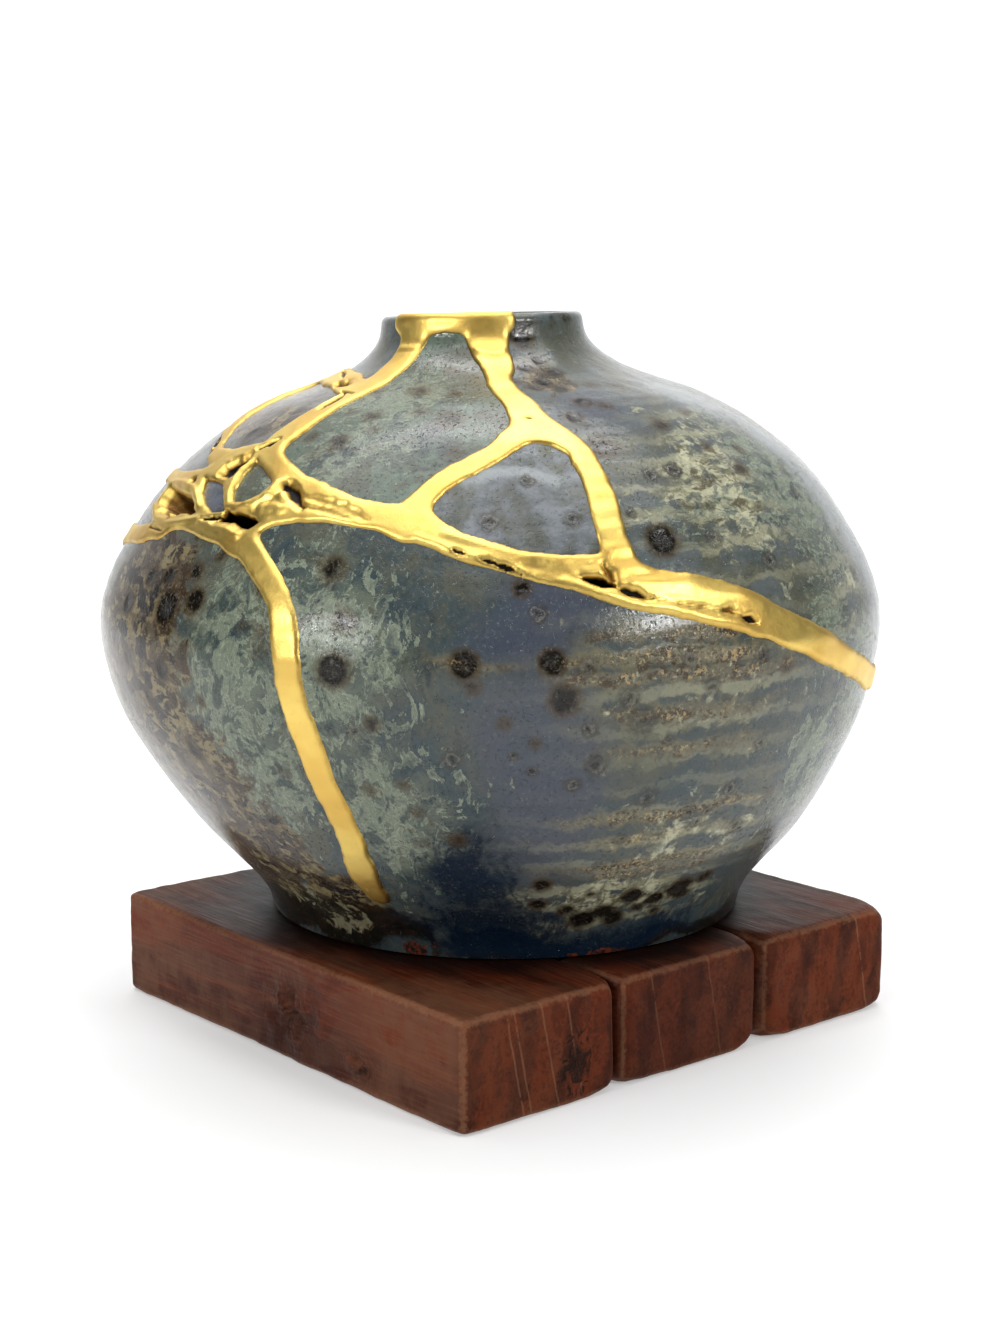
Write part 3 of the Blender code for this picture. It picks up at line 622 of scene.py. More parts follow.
class Shader(Nodes):
    # a material; a colour is a tone's name, three numbers or a node's output
    def __init__(self, name, tones, start, **constants):
        self.material = bpy.data.materials.new(name)
        super().__init__(self.material, tones)
        self.surface = self.nodes["Principled BSDF"]
        self.coat = start
        for key, value in constants.items():
            self.surface.inputs[key.replace("_", " ")].default_value = value
        self.where = self.add("ShaderNodeVectorMath", {"operation": "SCALE"},
                              {0: self.add("ShaderNodeTexCoord", output="Object"), 3: 1000.0})

    def feed(self, name, value):
        self.put(self.surface.inputs[name], value)

    def mix(self, factor, first, second):
        return self.add("ShaderNodeMix", {"data_type": "RGBA"}, {0: factor, 6: first, 7: second}, 2)

    def paint(self, factor, tone):
        # lays a tone over the coat so far
        self.coat = self.mix(factor, self.coat, tone)

    def noise(self, size, detail=3.0, rough=0.5, warp=0.0, where=None, output=0):
        return self.add("ShaderNodeTexNoise", {}, {"Vector": where or self.where, "Scale": 1 / size,
                                                   "Detail": detail, "Roughness": rough,
                                                   "Distortion": warp}, output)

    def mark(self, name, output="Fac"):
        return self.add("ShaderNodeAttribute", {"attribute_name": name}, {}, output)

    def stretch(self, scale, where=None):
        return self.add("ShaderNodeVectorMath", {"operation": "MULTIPLY"}, {0: where or self.where, 1: scale})

    def bump(self, height, distance, under=None):
        # the height is in units of the distance, which is in metres; another bump may lie under it
        return self.add("ShaderNodeBump", {}, {"Height": height, "Distance": distance}
                        | ({"Normal": under} if under else {}))


def colour(red, green, blue):
    # a screen colour, 0 to 255, as the linear one that a shader takes
    return tuple(((c / 255 + 0.055) / 1.055) ** 2.4 if c > 10 else c / 3294 for c in (red, green, blue))


# What lies on the wall: soft forms that the glaze and the gold share
form = {
    "rings": [((28, .36), (26, .22), .10, 3.5), ((38, .63), (26, .14), .07, 3.1),
              ((-15, .42), (18, .2), .04, 3.8),
              ((150, .5), (70, .35), .08, 3.6), ((-110, .5), (40, .3), .06, 3.4)],
    "waves": 0.16, "wavesSize": 17.0, "orange": 0.03,
}


def nearness(turn, share, place, spread):
    # 1 at a place, falling off softly over so many degrees and so much of the share
    away = (turn / turnScale - place[0] + 180) % 360 - 180
    return np.exp(-(away / spread[0])**2 - ((share - place[1]) / spread[1])**2)


def wallForm(points, turn, share):
    height = form["waves"] * softNoise(points, form["wavesSize"], 21)
    height += form["orange"] * softNoise(points, 2.6, 22)
    drift = softNoise(points, 24.0, 23)
    for place, spread, amount, spacing in form["rings"]:
        wave = np.sin(2 * math.pi * (share * wall.length / spacing + 0.35 * drift))
        height += amount * wave * nearness(turn, share, place, spread)
    return height * ease(share, 0.0, 0.04) * (1 - ease(share, 0.93, 0.97))


# The gold's look; where it lies is in mend
gold = {
    "bright": (236, 206, 114), "warm": (214, 168, 80), "recessShade": (92, 58, 16), "pit": (7, 5, 2),
    "roughness": 0.42, "grainHeight": 0.000024, "dimpleHeight": 0.00003, "brushHeight": 0.00004,
}


def goldMaterial():
    shader = Shader("goldLacquer", gold, "bright", Metallic=1.0, Specular_IOR_Level=0.1)
    warm = shader.noise(11.0, 3).step(0.36, 0.68)
    fine = shader.noise(0.4, 4, 0.65)
    recessShade, pit = shader.mark("recessShade"), shader.mark("pit")
    rubbed = shader.noise(1.5, 5, 0.7)
    shader.paint(warm * 0.6, "warm")
    shader.paint((rubbed - 0.5).step(0.03, 0.25) * 0.3, "warm")
    shader.paint(shader.mark("edge") * (0.25 + rubbed), "recessShade")
    # painted shade: darker brown in the grooves and down the side hole's walls
    shader.paint((recessShade + (rubbed - 0.5) * 0.7 * recessShade).step(0.15, 0.9), "recessShade")
    # painted shade: near-black where a slit or hole would show the dark inside of the pot
    shader.paint(pit.step(0.35, 0.8), "pit")
    shader.feed("Base Color", shader.coat)
    shader.feed("Metallic", 1 - pit.step(0.4, 0.9) * 0.9)
    shader.feed("Roughness", gold["roughness"] + (fine - 0.5) * 0.14 + recessShade * 0.1 + (rubbed - 0.5) * 0.16)
    grain = shader.bump(fine, gold["grainHeight"])
    dimples = shader.bump(shader.noise(1.3, 3, 0.6), gold["dimpleHeight"], grain)
    shader.feed("Normal", shader.bump(shader.noise(3.4, 2), gold["brushHeight"], dimples))
    return shader.material


def buildGold(material, sliverGrid, slivers):
    grid = Grid(mend["columns"])
    field = grid.goldField()
    if slivers.any():
        rows = np.clip(np.round(grid.high[:, 0] / sliverGrid.rowStep).astype(int), 0, sliverGrid.rows - 1)
        columns = np.round((grid.turn[0] + math.pi) / sliverGrid.step).astype(int) % sliverGrid.columns
        field = np.where(slivers[np.ix_(rows, columns)], np.maximum(field, 0.5), field)
    marks = {"recessShade": np.zeros(field.shape), "groove": np.zeros(field.shape), "pit": np.zeros(field.shape)}
    ragged = 0.3 * grid.noise(field > -1, (1.3, 31), (0.7, 32))
    for points, width, depth, dark in mend["grooves"]:
        if len(points) == 2:
            points = [points[0], tuple(np.mean(points, axis=0)), points[1]]
        widths = [width * (0.35 if k in (0, len(points) - 1) else 1.0) for k in range(len(points))]
        inside = grid.lineField([(*p, w) for p, w in zip(points, widths)], reach=5) + ragged * min(
            1, width / 2.0)
        depth = min(depth, 0.55 * width)
        marks["groove"] = np.maximum(marks["groove"], depth * ease(inside, -0.28 * width, 0.36 * width))
        # the painted shade in each groove
        marks["recessShade"] = np.maximum(marks["recessShade"], min(dark, 0.9) * ease(inside, -0.22 * width, 0.25 * width))
        # the darkest grooves are painted near-black, as slits
        if dark > 0.8:
            marks["pit"] = np.maximum(marks["pit"], dark * ease(inside, -0.05 * width, 0.28 * width))
    ridge = np.zeros(field.shape)
    for points, width, rise in mend["ridges"]:
        inside = grid.lineField([(*p, width) for p in points], reach=5)
        ridge = np.maximum(ridge, rise * ease(inside, -0.25 * width, 0.5 * width))
    turn, high, value, triangles = cutGrid(grid, field)
    share = wall.shareAt(high)

    def pick(layer):
        # a layer's value at every point, also those that the cut has added
        row = np.clip(high / grid.rowStep, 0, grid.rows - 1.001)
        column = (turn + math.pi) / grid.step
        r, c = np.floor(row).astype(int), np.floor(column).astype(int)
        fr, fc = row - r, column - c
        c, cNext = c % grid.columns, (c + 1) % grid.columns
        return ((layer[r, c] * (1 - fc) + layer[r, cNext] * fc) * (1 - fr)
                + (layer[r + 1, c] * (1 - fc) + layer[r + 1, cNext] * fc) * fr)

    rise, height = wall.outerPoint(share)
    points = sway(rise, turn, height)
    body = mend["raise"] * (1 + 0.25 * softNoise(points, 7.0, 41))
    t = np.clip(value / mend["edgeRound"], 0, 1)
    inner = ease(value, 0.2, 1.6)
    lumpy = nearness(turn, share, (-38, .635), (7, .025)) + 0.5 * nearness(turn, share, (-52, .69), (6, .02))
    lift = -mend["edgeDip"] + (body + mend["edgeDip"]) * np.sqrt(1 - (1 - t)**2)
    lift += inner * (mend["lumps"] * softNoise(points, 3.2, 42) + mend["grain"] * softNoise(points, 1.0, 43, 2))
    lift += inner * lumpy * (0.26 * softNoise(points, 2.2, 44, 2) + 0.1)
    lift += inner * pick(ridge) - pick(marks["groove"]) * ease(value, 0.0, 0.5)
    lift += wallForm(points, turn, share)
    lift = np.maximum(lift, -1.8)
    rise, height = wall.outerPoint(share, lift)
    height = height + 0.45 * ease(share, 0.985, 0.999)
    outer = sway(rise, turn, height)
    core, coreShare, _, pull = mend["funnel"]
    coreTurn, coreHigh = mapPoint(core, coreShare)
    closeToHole = ease(pick(grid.patchField(mend["holes"]["side"])), -3.0, -0.3) * pull
    innerTurn = turn + (coreTurn - turn) * closeToHole
    innerHigh = high + (coreHigh - high) * closeToHole
    rise, height = wall.innerPoint(wall.shareAt(innerHigh))
    inset = 0.3 * ease(value, 0.3, 1.5)
    inner = sway(rise - inset, innerTurn, height)
    holeNear = pick(np.maximum(grid.holes, -9))
    frontHole = pick(np.maximum(grid.patchField(mend["holes"]["front"]),
                                grid.patchField(mend["holes"]["slit"])))

    def lumpySide(ring, t):
        out = ring - np.array([0, 0, 75.0])
        away = out / np.linalg.norm(out, axis=1)[:, None]
        return ring + away * (0.8 * math.sin(math.pi * t) * softNoise(ring, 2.4, 51, 2))[:, None] * 0.6

    everyPoint, faces, source, depth = closeSides(outer, inner, triangles, 5, lumpySide)
    inHole = ease(holeNear[source], -1.2, -0.2) * (depth > 0)
    inFront = ease(frontHole[source], -1.2, -0.2) * (depth > 0)
    recessShade = np.where(depth > 0, 0.0, pick(marks["recessShade"])[source])
    # painted shade: the side hole's walls darken further in
    recessShade = np.maximum(recessShade, inHole * (0.72 + 0.25 * depth))
    pit = np.where(depth > 0, 0.0, pick(marks["pit"])[source])
    # painted shade: the walls of the front hole and the slit, and the far end of the side hole, go near-black
    pit = np.maximum(pit, inFront * ease(depth, 0.0, 0.3))
    pit = np.maximum(pit, inHole * ease(depth, 0.75, 1.0) * 0.8)
    edge = np.where(depth > 0, 0.0, 0.55 * (1 - ease(value, 0.1, 0.9))[source])
    makePiece("goldLacquer", everyPoint, faces, "gold_lacquer", material,
              {"recessShade": recessShade, "pit": pit, "edge": edge}, unseen=np.nonzero(depth == 1)[0])


# Soft areas are (degrees, share, spread in degrees, spread in share, strength)
glaze = {
    "areas": {
        "sage": [(-22, .46, 14, .17, 1.1), (-15, .25, 12, .17, 1.0), (-36, .44, 9, .17, 1.05),
                 (-33, .30, 8, .12, 1.0), (-24, .83, 19, .12, 1.1), (-31, .71, 12, .08, 1.0),
                 (-14, .72, 9, .06, .7), (53, .44, 9, .08, 1.0), (56, .28, 9, .09, 1.1),
                 (58, .62, 11, .14, 1.0), (66, .35, 9, .16, .9), (34, .60, 14, .07, .5),
                 (120, .5, 26, .25, .8), (-150, .4, 22, .22, .8), (172, .72, 26, .14, .6),
                 (-105, .72, 12, .06, .5), (-42, .655, 8, .04, .5)],
        "brown": [(-59, .50, 14, .09, 1.1), (-58, .40, 15, .12, 1.1), (-53, .27, 17, .11, 1.05),
                  (-44, .16, 14, .08, 1.0), (-32, .09, 12, .04, .9), (-72, .34, 14, .2, .8),
                  (-60, .10, 20, .08, .9), (24, .88, 9, .05, .75), (150, .28, 20, .14, .8),
                  (-112, .36, 22, .16, .7), (85, .75, 20, .12, .4), (-62, .78, 13, .05, .75),
                  (-90, .60, 14, .05, .4)],
        "navy": [(-4, .14, 9, .09, 1.1), (-9, .40, 6, .2, .4), (0, .06, 17, .06, 1.2),
                 (24, .03, 26, .028, 1.1), (-46, .45, 5, .05, .35), (-53, .50, 8, .05, .45),
                 (100, .08, 30, .05, .8), (-140, .1, 30, .06, .8), (-14, .33, 7, .12, .35)],
        "olive": [(42, .63, 13, .09, 1.0), (52, .72, 9, .05, .7), (28, .62, 9, .05, .5),
                  (32, .40, 16, .10, .35), (30, .20, 18, .07, .55), (20, .10, 16, .04, .9),
                  (34, .08, 10, .04, .7), (-40, .48, 4, .05, .4), (-42, .06, 12, .03, .9),
                  (110, .65, 22, .10, .7), (-170, .55, 22, .10, .6), (-44, .36, 8, .12, .4),
                  (24, .91, 8, .04, .3), (-28, .72, 12, .04, .2), (58, .50, 10, .10, .5),
                  (-55, .40, 10, .12, .35)],
        "lines": [(27, .43, 15, .05, 1.0), (27, .36, 15, .04, .6), (28, .245, 17, .02, 1.0),
                  (26, .21, 16, .015, .6), (25, .165, 17, .03, .7), (-1, .455, 9, .012, .5),
                  (130, .35, 35, .12, .5), (40, .62, 12, .07, .35)],
        "pale": [(-62, .80, 22, .09, .75), (-100, .66, 20, .10, .8), (-90, .60, 20, .06, .7),
                 (-42, .78, 6, .04, .3), (80, .78, 24, .14, .45)],
        "purple": [(6, .30, 11, .22, .8), (30, .80, 14, .07, .8), (8, .49, 12, .07, .9),
                   (-9, .72, 9, .06, .45), (6, .64, 12, .08, .35), (-85, .60, 16, .06, .6),
                   (-60, .30, 20, .14, .4), (18, .95, 10, .03, .4), (-70, .78, 12, .07, .5)],
        # painted sheen: where the glaze would reflect the bright room, along a throwing line on the triangle
        # shard, on the front shoulder and along the right-hand edge
        "paintedShine": [(5, .672, 13, .014, 1.0), (-12, .85, 10, .012, .6), (-14, .80, 14, .016, .5),
                  (14, .80, 10, .03, .5), (64, .80, 13, .07, .9), (74, .64, 13, .20, 1.0),
                  (76, .42, 11, .26, .9), (68, .25, 8, .10, .5)],
        # darker low on the pot all round the foot: partly the glaze's own colour, partly painted shade; the two
        # near the lip are dark glaze
        "dark": [(-34, .035, 22, .045, 1.1), (4, .02, 20, .035, 1.1), (30, .012, 22, .02, 1.0),
                 (24, .975, 14, .02, .6), (50, .985, 20, .015, .5), (-64, .04, 30, .04, 1.0),
                 (60, .01, 30, .02, .9), (110, .02, 60, .025, .9), (-140, .02, 60, .03, .9)],
        "blotch": [(-36, .045, 11, .035, 1.0), (-50, .07, 8, .03, .7), (-24, .02, 5, .015, .5),
                   (150, .06, 26, .04, .6)],
    },
    # unglazed clay at the foot
    "bareClay": [(-20, .008, 5, .014, .9), (22, 0, 9, .009, 1.0), (120, 0, 20, .01, .8),
                 (-110, 0, 14, .01, .8)],
    # soft dark spots: (degrees, share, radius, strength)
    "spots": [(-20, .435, 3.2, 1.0), (-19, .49, 2.8, .55), (-22, .552, 3.2, .6), (-3, .445, 2.5, 1.1),
              (8, .447, 2.3, 1.1), (9.5, .405, 3.0, .85), (4.5, .53, 1.9, .7), (-15, .375, 1.9, .55),
              (-7, .78, 3.4, .55), (-30, .735, 2.6, .6), (-5, .715, 2.4, .35), (-12, .915, 2.6, .35),
              (-38, .745, 2.2, .4), (-34, .80, 2.0, .3), (22, .965, 2.4, .8), (17, .915, 2.4, .65),
              (25, .93, 2.4, .65), (28, .90, 2.3, .65), (20.5, .875, 2.3, .7), (16, .862, 2.2, .55),
              (24, .852, 2.2, .6), (26, .81, 2.4, .7), (31, .80, 2.2, .5), (20.5, .775, 2.3, .7),
              (23, .715, 3.6, .55), (26, .578, 3.1, 1.0), (50, .66, 2.4, .5), (55, .69, 2.2, .45),
              (46, .70, 2.2, .4), (-57, .84, 3.6, .5), (-63, .785, 4.2, .5), (-58, .745, 3.6, .75),
              (-75, .81, 3.4, .4), (-52, .80, 2.4, .4), (-44, .50, 2.8, .8), (-50, .485, 4.0, .9),
              (-57, .52, 3.0, .7), (-52, .525, 3.0, .7), (-46, .535, 2.6, .6), (-62, .48, 3.0, .8),
              (-60, .41, 3.0, .6), (-50, .41, 3.0, .7), (-45, .43, 2.4, .5), (-65, .43, 3.0, .6),
              (-55, .37, 2.5, .6), (-47, .31, 3.0, .6), (-52, .285, 3.0, .5), (-42, .38, 1.8, .5),
              (-32, .525, 2.4, .55), (-42, .56, 1.8, .5), (-31, .475, 1.8, .4), (7, .14, 2.2, .7),
              (6.5, .10, 1.8, .9), (16, .115, 1.6, .55), (16, .062, 2.8, .95), (25, .10, 2.6, .95),
              (36, .10, 3.2, .95), (38, .085, 2.0, .7), (28, .072, 1.8, .6), (33, .058, 1.8, .6),
              (-12, .30, 2.2, .35), (-17, .29, 2.6, .35), (43, .42, 2.2, .45), (46, .25, 2.0, .4),
              (-20, .86, 3.0, .5), (-27, .79, 2.6, .45), (-15, .80, 2.6, .4), (-24, .76, 2.2, .4),
              (-8, .85, 2.4, .4), (10, .88, 2.2, .45), (44, .85, 2.6, .45), (36, .86, 2.4, .45),
              (40, .75, 2.6, .5), (52, .77, 2.4, .4), (20, .075, 2.6, .9), (31, .085, 2.4, .9),
              (23, .058, 2.4, .9), (12, .085, 2.0, .7), (41, .115, 2.4, .6), (-2, .42, 2.0, .5),
              (2, .38, 1.8, .45), (6, .355, 1.6, .45), (-11, .26, 2.0, .4), (-6, .22, 2.2, .5),
              (110, .45, 3.2, .7), (135, .60, 3.0, .6), (160, .35, 3.4, .7), (-160, .65, 3.0, .6),
              (-135, .30, 3.2, .7), (95, .62, 2.6, .6), (120, .78, 3.0, .5), (180, .80, 3.0, .5)],
    # small craters with a pale rim: (degrees, share, radius)
    "rings": [(14, .325, 1.7), (22, .275, 1.5), (19, .213, 1.1), (30, .243, 1.0), (33.5, .240, 1.0),
              (36.5, .27, 1.1), (30, .41, 1.4), (20, .378, 1.6), (12.8, .37, 1.3), (26.5, .443, 1.1),
              (38, .44, 1.3), (41, .205, 1.2), (32, .225, 1.2), (5.5, .32, .8), (6.5, .50, 1.3),
              (18, .405, 1.2), (16, .17, .9), (35, .575, 1.2), (29, .665, 1.3), (34, .67, 1.1),
              (40.5, .655, 1.2), (44, .54, 1.2), (40, .33, 1.2), (11, .30, 1.0), (24, .35, 1.0),
              (12.5, .44, 1.2), (13, .61, 1.3), (.5, .61, 1.4), (7, .665, 1.2), (22.5, .614, .7),
              (-17.5, .365, 1.2), (-5, .335, 1.1), (3, .34, .8)],
    # where fine ochre specks follow the throwing lines: shares
    "lineShares": [.472, .446, .425, .382, .338, .247, .212, .168, .150],
    "lavender": (66, 71, 83), "slate": (60, 71, 75), "greyGreen": (80, 82, 71), "sage": (111, 120, 104),
    "sageRim": (158, 165, 142), "teal": (42, 55, 58), "navy": (10, 28, 46), "brown": (52, 40, 31),
    "black": (23, 23, 26), "cream": (146, 138, 110), "tan": (126, 112, 78), "olive": (124, 121, 95),
    "ochre": (172, 144, 96), "amber": (66, 51, 29), "soot": (14, 10, 6), "mauve": (106, 100, 92),
    "grime": (82, 70, 52), "clay": (108, 44, 20), "straw": (182, 181, 152), "khaki": (106, 100, 80),
    "sheenTone": (150, 156, 158), "umber": (40, 26, 14),
    "roughness": 0.17, "reliefHeight": 0.00015,
}


def glazeMarks(turn, share, points):
    marks = {}
    bend = softNoise(points, 11.0, 61, 2)
    shift = softNoise(points + 40.0, 11.0, 62, 2)
    turnBent, shareBent = turn + 3.2 * turnScale * bend, share + 0.022 * shift
    for name, areas in glaze["areas"].items():
        total = np.zeros(len(turn))
        for degrees, at, wide, tall, strength in areas:
            total = np.maximum(total, strength * nearness(turnBent, shareBent, (degrees, at), (wide, tall)))
        marks[name] = total
    radius = wall.radiusAt(wall.mapHeightAt(share))
    spot = np.zeros(len(turn))
    for degrees, at, size, strength in glaze["spots"]:
        away = ((turn - degrees * turnScale + math.pi) % (2 * math.pi) - math.pi) * radius
        far = np.hypot(away, (share - at) * wall.length)
        spot = np.maximum(spot, strength * np.exp(-(far / size)**2 * 1.4))
    marks["spot"] = spot
    marks["around"] = np.stack([60 * np.cos(turn), 60 * np.sin(turn), share * wall.length], axis=1)
    marks["along"] = share * wall.length
    return marks


def glazeMaterial(name, base, flow):
    shader = Shader(name, glaze, colour(*base), IOR=1.5, Specular_IOR_Level=0.36)
    paint = shader.paint
    around = shader.mark("around", "Vector")
    tall = shader.stretch(flow, around)
    along = shader.mark("along")
    area = {key: shader.mark(key) for key in (*glaze["areas"], "spot", "bare")}
    cloud = shader.noise(12.0, 5, 0.6, 0.8)
    fleck = shader.noise(0.8, 4, 0.65)
    lichen = shader.noise(2.7, 8, 0.68, 0.5, tall)
    curl = shader.noise(4.4, 5, 0.56, 2.6, tall)
    mottle = shader.noise(3.6, 6, 0.66, 0.5)
    blotch = shader.noise(6.5, 5, 0.6, 0.9)
    stroke = shader.noise(2.6, 6, 0.64, 0.7, shader.stretch((0.8, 0.8, 1.15), around))
    # ground: slate to grey-green, lavender where the glaze is plain
    paint((cloud + (mottle - 0.5) * 0.5).step(0.38, 0.62), "greyGreen")
    plain = (area["purple"] + (cloud - 0.5) * 0.9).step(0.15, 0.8)
    paint(plain * 0.95, "lavender")
    paint((area["pale"] + (mottle - 0.5) * 0.9).step(0.2, 0.9) * 0.8, "mauve")
    paint((lichen - 0.5).step(0.0, 0.2) * (0.55 - plain * 0.3), "teal")
    # throwing bands, with belts of olive along some of the lines
    band = shader.add("ShaderNodeMath", {"operation": "SINE"},
                      {0: along * (2 * math.pi / 5.6) + (cloud - 0.5) * 9.0})
    right = (area["olive"] + area["lines"]).smaller(1.0)
    paint(right * 0.5, "greyGreen")
    banded = (area["olive"] + area["lines"] * 0.45).smaller(1.0) * (band + (mottle - 0.5) * 5.0).step(-0.3, 0.7)
    paint(banded * 0.75, "olive")
    paint(area["olive"].smaller(1.0) * (band + (stroke - 0.5) * 6.0).step(0.2, 0.9) * 0.75, "straw")
    paint(right * ((lichen - 0.5) * 7.0 - band).step(0.3, 1.0) * 0.5, "slate")
    wave = along + (shader.noise(14.0, 3) - 0.5) * 2.6
    gap = None
    for share in glaze["lineShares"]:
        away = (wave - share * wall.length).size()
        gap = away if gap is None else gap.smaller(away)
    belt = (1 - gap / 2.6 + (mottle - 0.5) * 2.2).step(0.2, 0.6) * area["lines"].step(0.1, 0.5)
    paint(belt * 0.7, "khaki")
    paint(belt * (stroke + (lichen - 0.5) * 0.6).step(0.50, 0.57) * 0.75, "brown")
    olive = (area["olive"] + (mottle - 0.5) * 2.4 + (blotch - 0.5) * 1.4).step(0.42, 0.78)
    paint(olive * 0.85, shader.mix(lichen.step(0.42, 0.54), "olive", "straw"))
    paint(olive * (1 - stroke).step(0.52, 0.60) * 0.6, "slate")
    paint(olive * (stroke - (lichen - 0.5) * 0.8).step(0.56, 0.64) * 0.6, "brown")
    # painted sheen: pale streaks laid where the glaze would reflect light
    paintedSheen = (area["paintedShine"] * 1.3 + (stroke - 0.5) * 1.2 + (cloud - 0.5) * 0.8).step(0.3, 1.1)
    paint(paintedSheen * 0.65, "sheenTone")
    # running sage lichen with pale rims over a darker blue
    under = (area["sage"] * 0.9 + (curl - 0.5) * 1.5).step(0.2, 0.9)
    paint(under * 0.6, "teal")
    wash = (area["sage"] + (cloud - 0.5) * 1.2 + (mottle - 0.5) * 0.8).step(0.45, 0.95)
    paint(wash * 0.55, "sage")
    flake = (lichen - 0.5) * 2.0 + (curl - 0.5) * 1.6 + area["sage"] * 0.80 - 0.58
    sage = flake.step(-0.04, 0.05)
    rim = (1 - (flake - 0.02).size() / 0.045).step(0.0, 0.9)
    thread = (1 - (curl - 0.53).size() / 0.016).step(0.0, 0.9) * (area["sage"] + (lichen - 0.5) * 1.8).step(
        0.35, 0.75)
    paint(sage * (0.6 + lichen * 0.6).smaller(1.0), "sage")
    paint(sage * ((mottle - 0.5) * 2.0 + (curl - 0.5)).step(0.05, 0.3) * 0.5, "slate")
    paint((rim * area["sage"] * 0.6).larger(thread * 0.6), "sageRim")
    smoke = (area["sage"] * 0.3 + (blotch - 0.5) * 2.4 + (lichen - 0.5) * 1.4).step(0.32, 0.50)
    paint(smoke * area["sage"].smaller(1.0) * 0.85, "teal")
    smudge = ((stroke - 0.5) * 1.6 + (cloud - 0.5) * 2.2 + (mottle - 0.5)).step(0.20, 0.42)
    paint(smudge * area["sage"].smaller(1.0) * 0.55, "brown")
    navy = (area["navy"] + (curl - 0.5) * 1.1 + (mottle - 0.5) * 1.6 + (fleck - 0.5) * 0.7).step(0.20, 1.0)
    paint(navy * 0.90, "navy")
    # brown and black mottling with cream between, cut off along a ragged edge
    inBrown = (area["brown"] + (mottle - 0.5) * 0.9).step(0.36, 0.50)
    tan = shader.mix((blotch + (lichen - 0.5) * 0.8).step(0.44, 0.56), "grime", "tan")
    paint(inBrown * 0.85, tan)
    brown = ((stroke - 0.5) * 2.4 + (mottle - 0.5) * 1.6 + (cloud - 0.5) * 0.8).step(-0.10, 0.10)
    core = ((blotch - 0.5) * 2.4 + (stroke - 0.5) * 1.8 + (area["brown"] - 1.0) * 0.4).step(0.07, 0.18)
    paint(inBrown * brown * 0.9, "brown")
    paint(inBrown * core * 0.9, "black")
    # soft spots with an amber edge
    ragged = (shader.noise(1.5, 6, 0.7) - 0.5) * 1.7
    spot = area["spot"] * 1.15 + ragged * area["spot"].smaller(0.8)
    paint(spot.step(0.10, 0.40) * 0.65, "amber")
    paint(spot.step(0.32, 0.68) * 0.95, "soot")
    # ochre specks along the throwing lines
    grain = shader.noise(0.7, 3, 0.6)
    near = (1 - gap / 1.5 + (mottle - 0.5) * 1.6).step(0.15, 0.75) * (area["lines"] + (cloud - 0.5)).step(
        0.2, 0.6)
    specks = near * (grain + (stroke - 0.5) * 0.5).step(0.55, 0.61)
    paint(near * (1 - grain).step(0.53, 0.60) * 0.6, "amber")
    paint(specks * 0.85, shader.mix(fleck.step(0.45, 0.6), "ochre", "cream"))
    # small craters: a pale ring with a dark halo
    warped = shader.add("ShaderNodeVectorMath", {"operation": "ADD"}, {
        0: shader.where, 1: shader.stretch((1.6, 1.6, 1.6), shader.noise(1.2, 3, output=1))})
    reach = None
    for k, (degrees, share, radius) in enumerate(glaze["rings"]):
        rise, height = wall.outerPoint(np.array([share]))
        centre = sway(rise, np.array([degrees * turnScale]), height)[0] + 0.8
        far = shader.add("ShaderNodeVectorMath", {"operation": "DISTANCE"}, {0: warped, 1: tuple(centre)}, 1)
        far = far / (radius * (1.0, 1.25, 1.1, 1.35)[k % 4])
        reach = far if reach is None else reach.smaller(far)
    halo = (1 - reach / 1.5).step(0.0, 0.4) * (0.55 + (blotch - 0.5) * 2.0)
    ring = (1 - (reach - 0.66).size() / 0.20).step(0.0, 0.8) * (mottle + (fleck - 0.5)).step(0.44, 0.56)
    hollow = (1 - reach / 0.42).step(0.0, 0.6)
    paint(halo.larger(0.0).smaller(0.85), shader.mix(0.5, "amber", "teal"))
    paint(hollow * 0.6, "soot")
    paint(ring * 0.6, "mauve")
    # fine crystals and dust all over
    paint(fleck.step(0.56, 0.70) * (0.10 + sage * 0.12), "sageRim")
    paint((1 - fleck).step(0.56, 0.72) * 0.28, "black")
    # dark foot with cream blotches: partly the glaze's own dark colour, partly painted shade low on the pot,
    # where the boards block light from below
    darkFootAndShade = (area["dark"] + (mottle - 0.5) * 0.9).step(0.30, 0.62)
    under = (area["navy"] + (cloud - 0.5)).step(0.1, 0.6)
    paint(darkFootAndShade * 0.93, shader.mix(under, shader.mix(stroke.step(0.45, 0.6), "soot", "umber"), "navy"))
    patch = (area["blotch"] * 0.8 + (stroke - 0.5) * 2.0 + (blotch - 0.5) * 2.0).step(0.60, 0.84)
    paint(patch * 0.8, shader.mix(lichen.step(0.45, 0.6), "olive", "cream"))
    bare = (area["bare"] + (mottle - 0.5) * 1.6 + (fleck - 0.5) * 0.8).step(0.50, 0.66)
    paint(bare, shader.mix(grain.step(0.4, 0.6), "clay", "soot"))
    shader.feed("Base Color", shader.coat)
    shader.feed("Roughness", glaze["roughness"] + (fleck - 0.5) * 0.3 + sage * 0.10 + bare * 0.45)
    pits = shader.noise(0.6, 3, 0.6).step(0.58, 0.72)
    # the relief leaves out the slower noises, because a bump works out its height three times
    onLine = (1 - gap / 1.6).step(0.1, 0.7) * area["lines"].step(0.2, 0.8)
    swelling = (1 - (reach - 0.66).size() / 0.20).step(0.0, 0.8)
    relief = (fleck - 0.5) * 0.4 + swelling * 0.4 - hollow - area["spot"].step(0.4, 0.9) * fleck * 1.8 \
        - pits * 0.6 + (grain - 0.42) * onLine * 2.6
    shader.feed("Normal", shader.bump(relief, glaze["reliefHeight"]))
    return shader.material


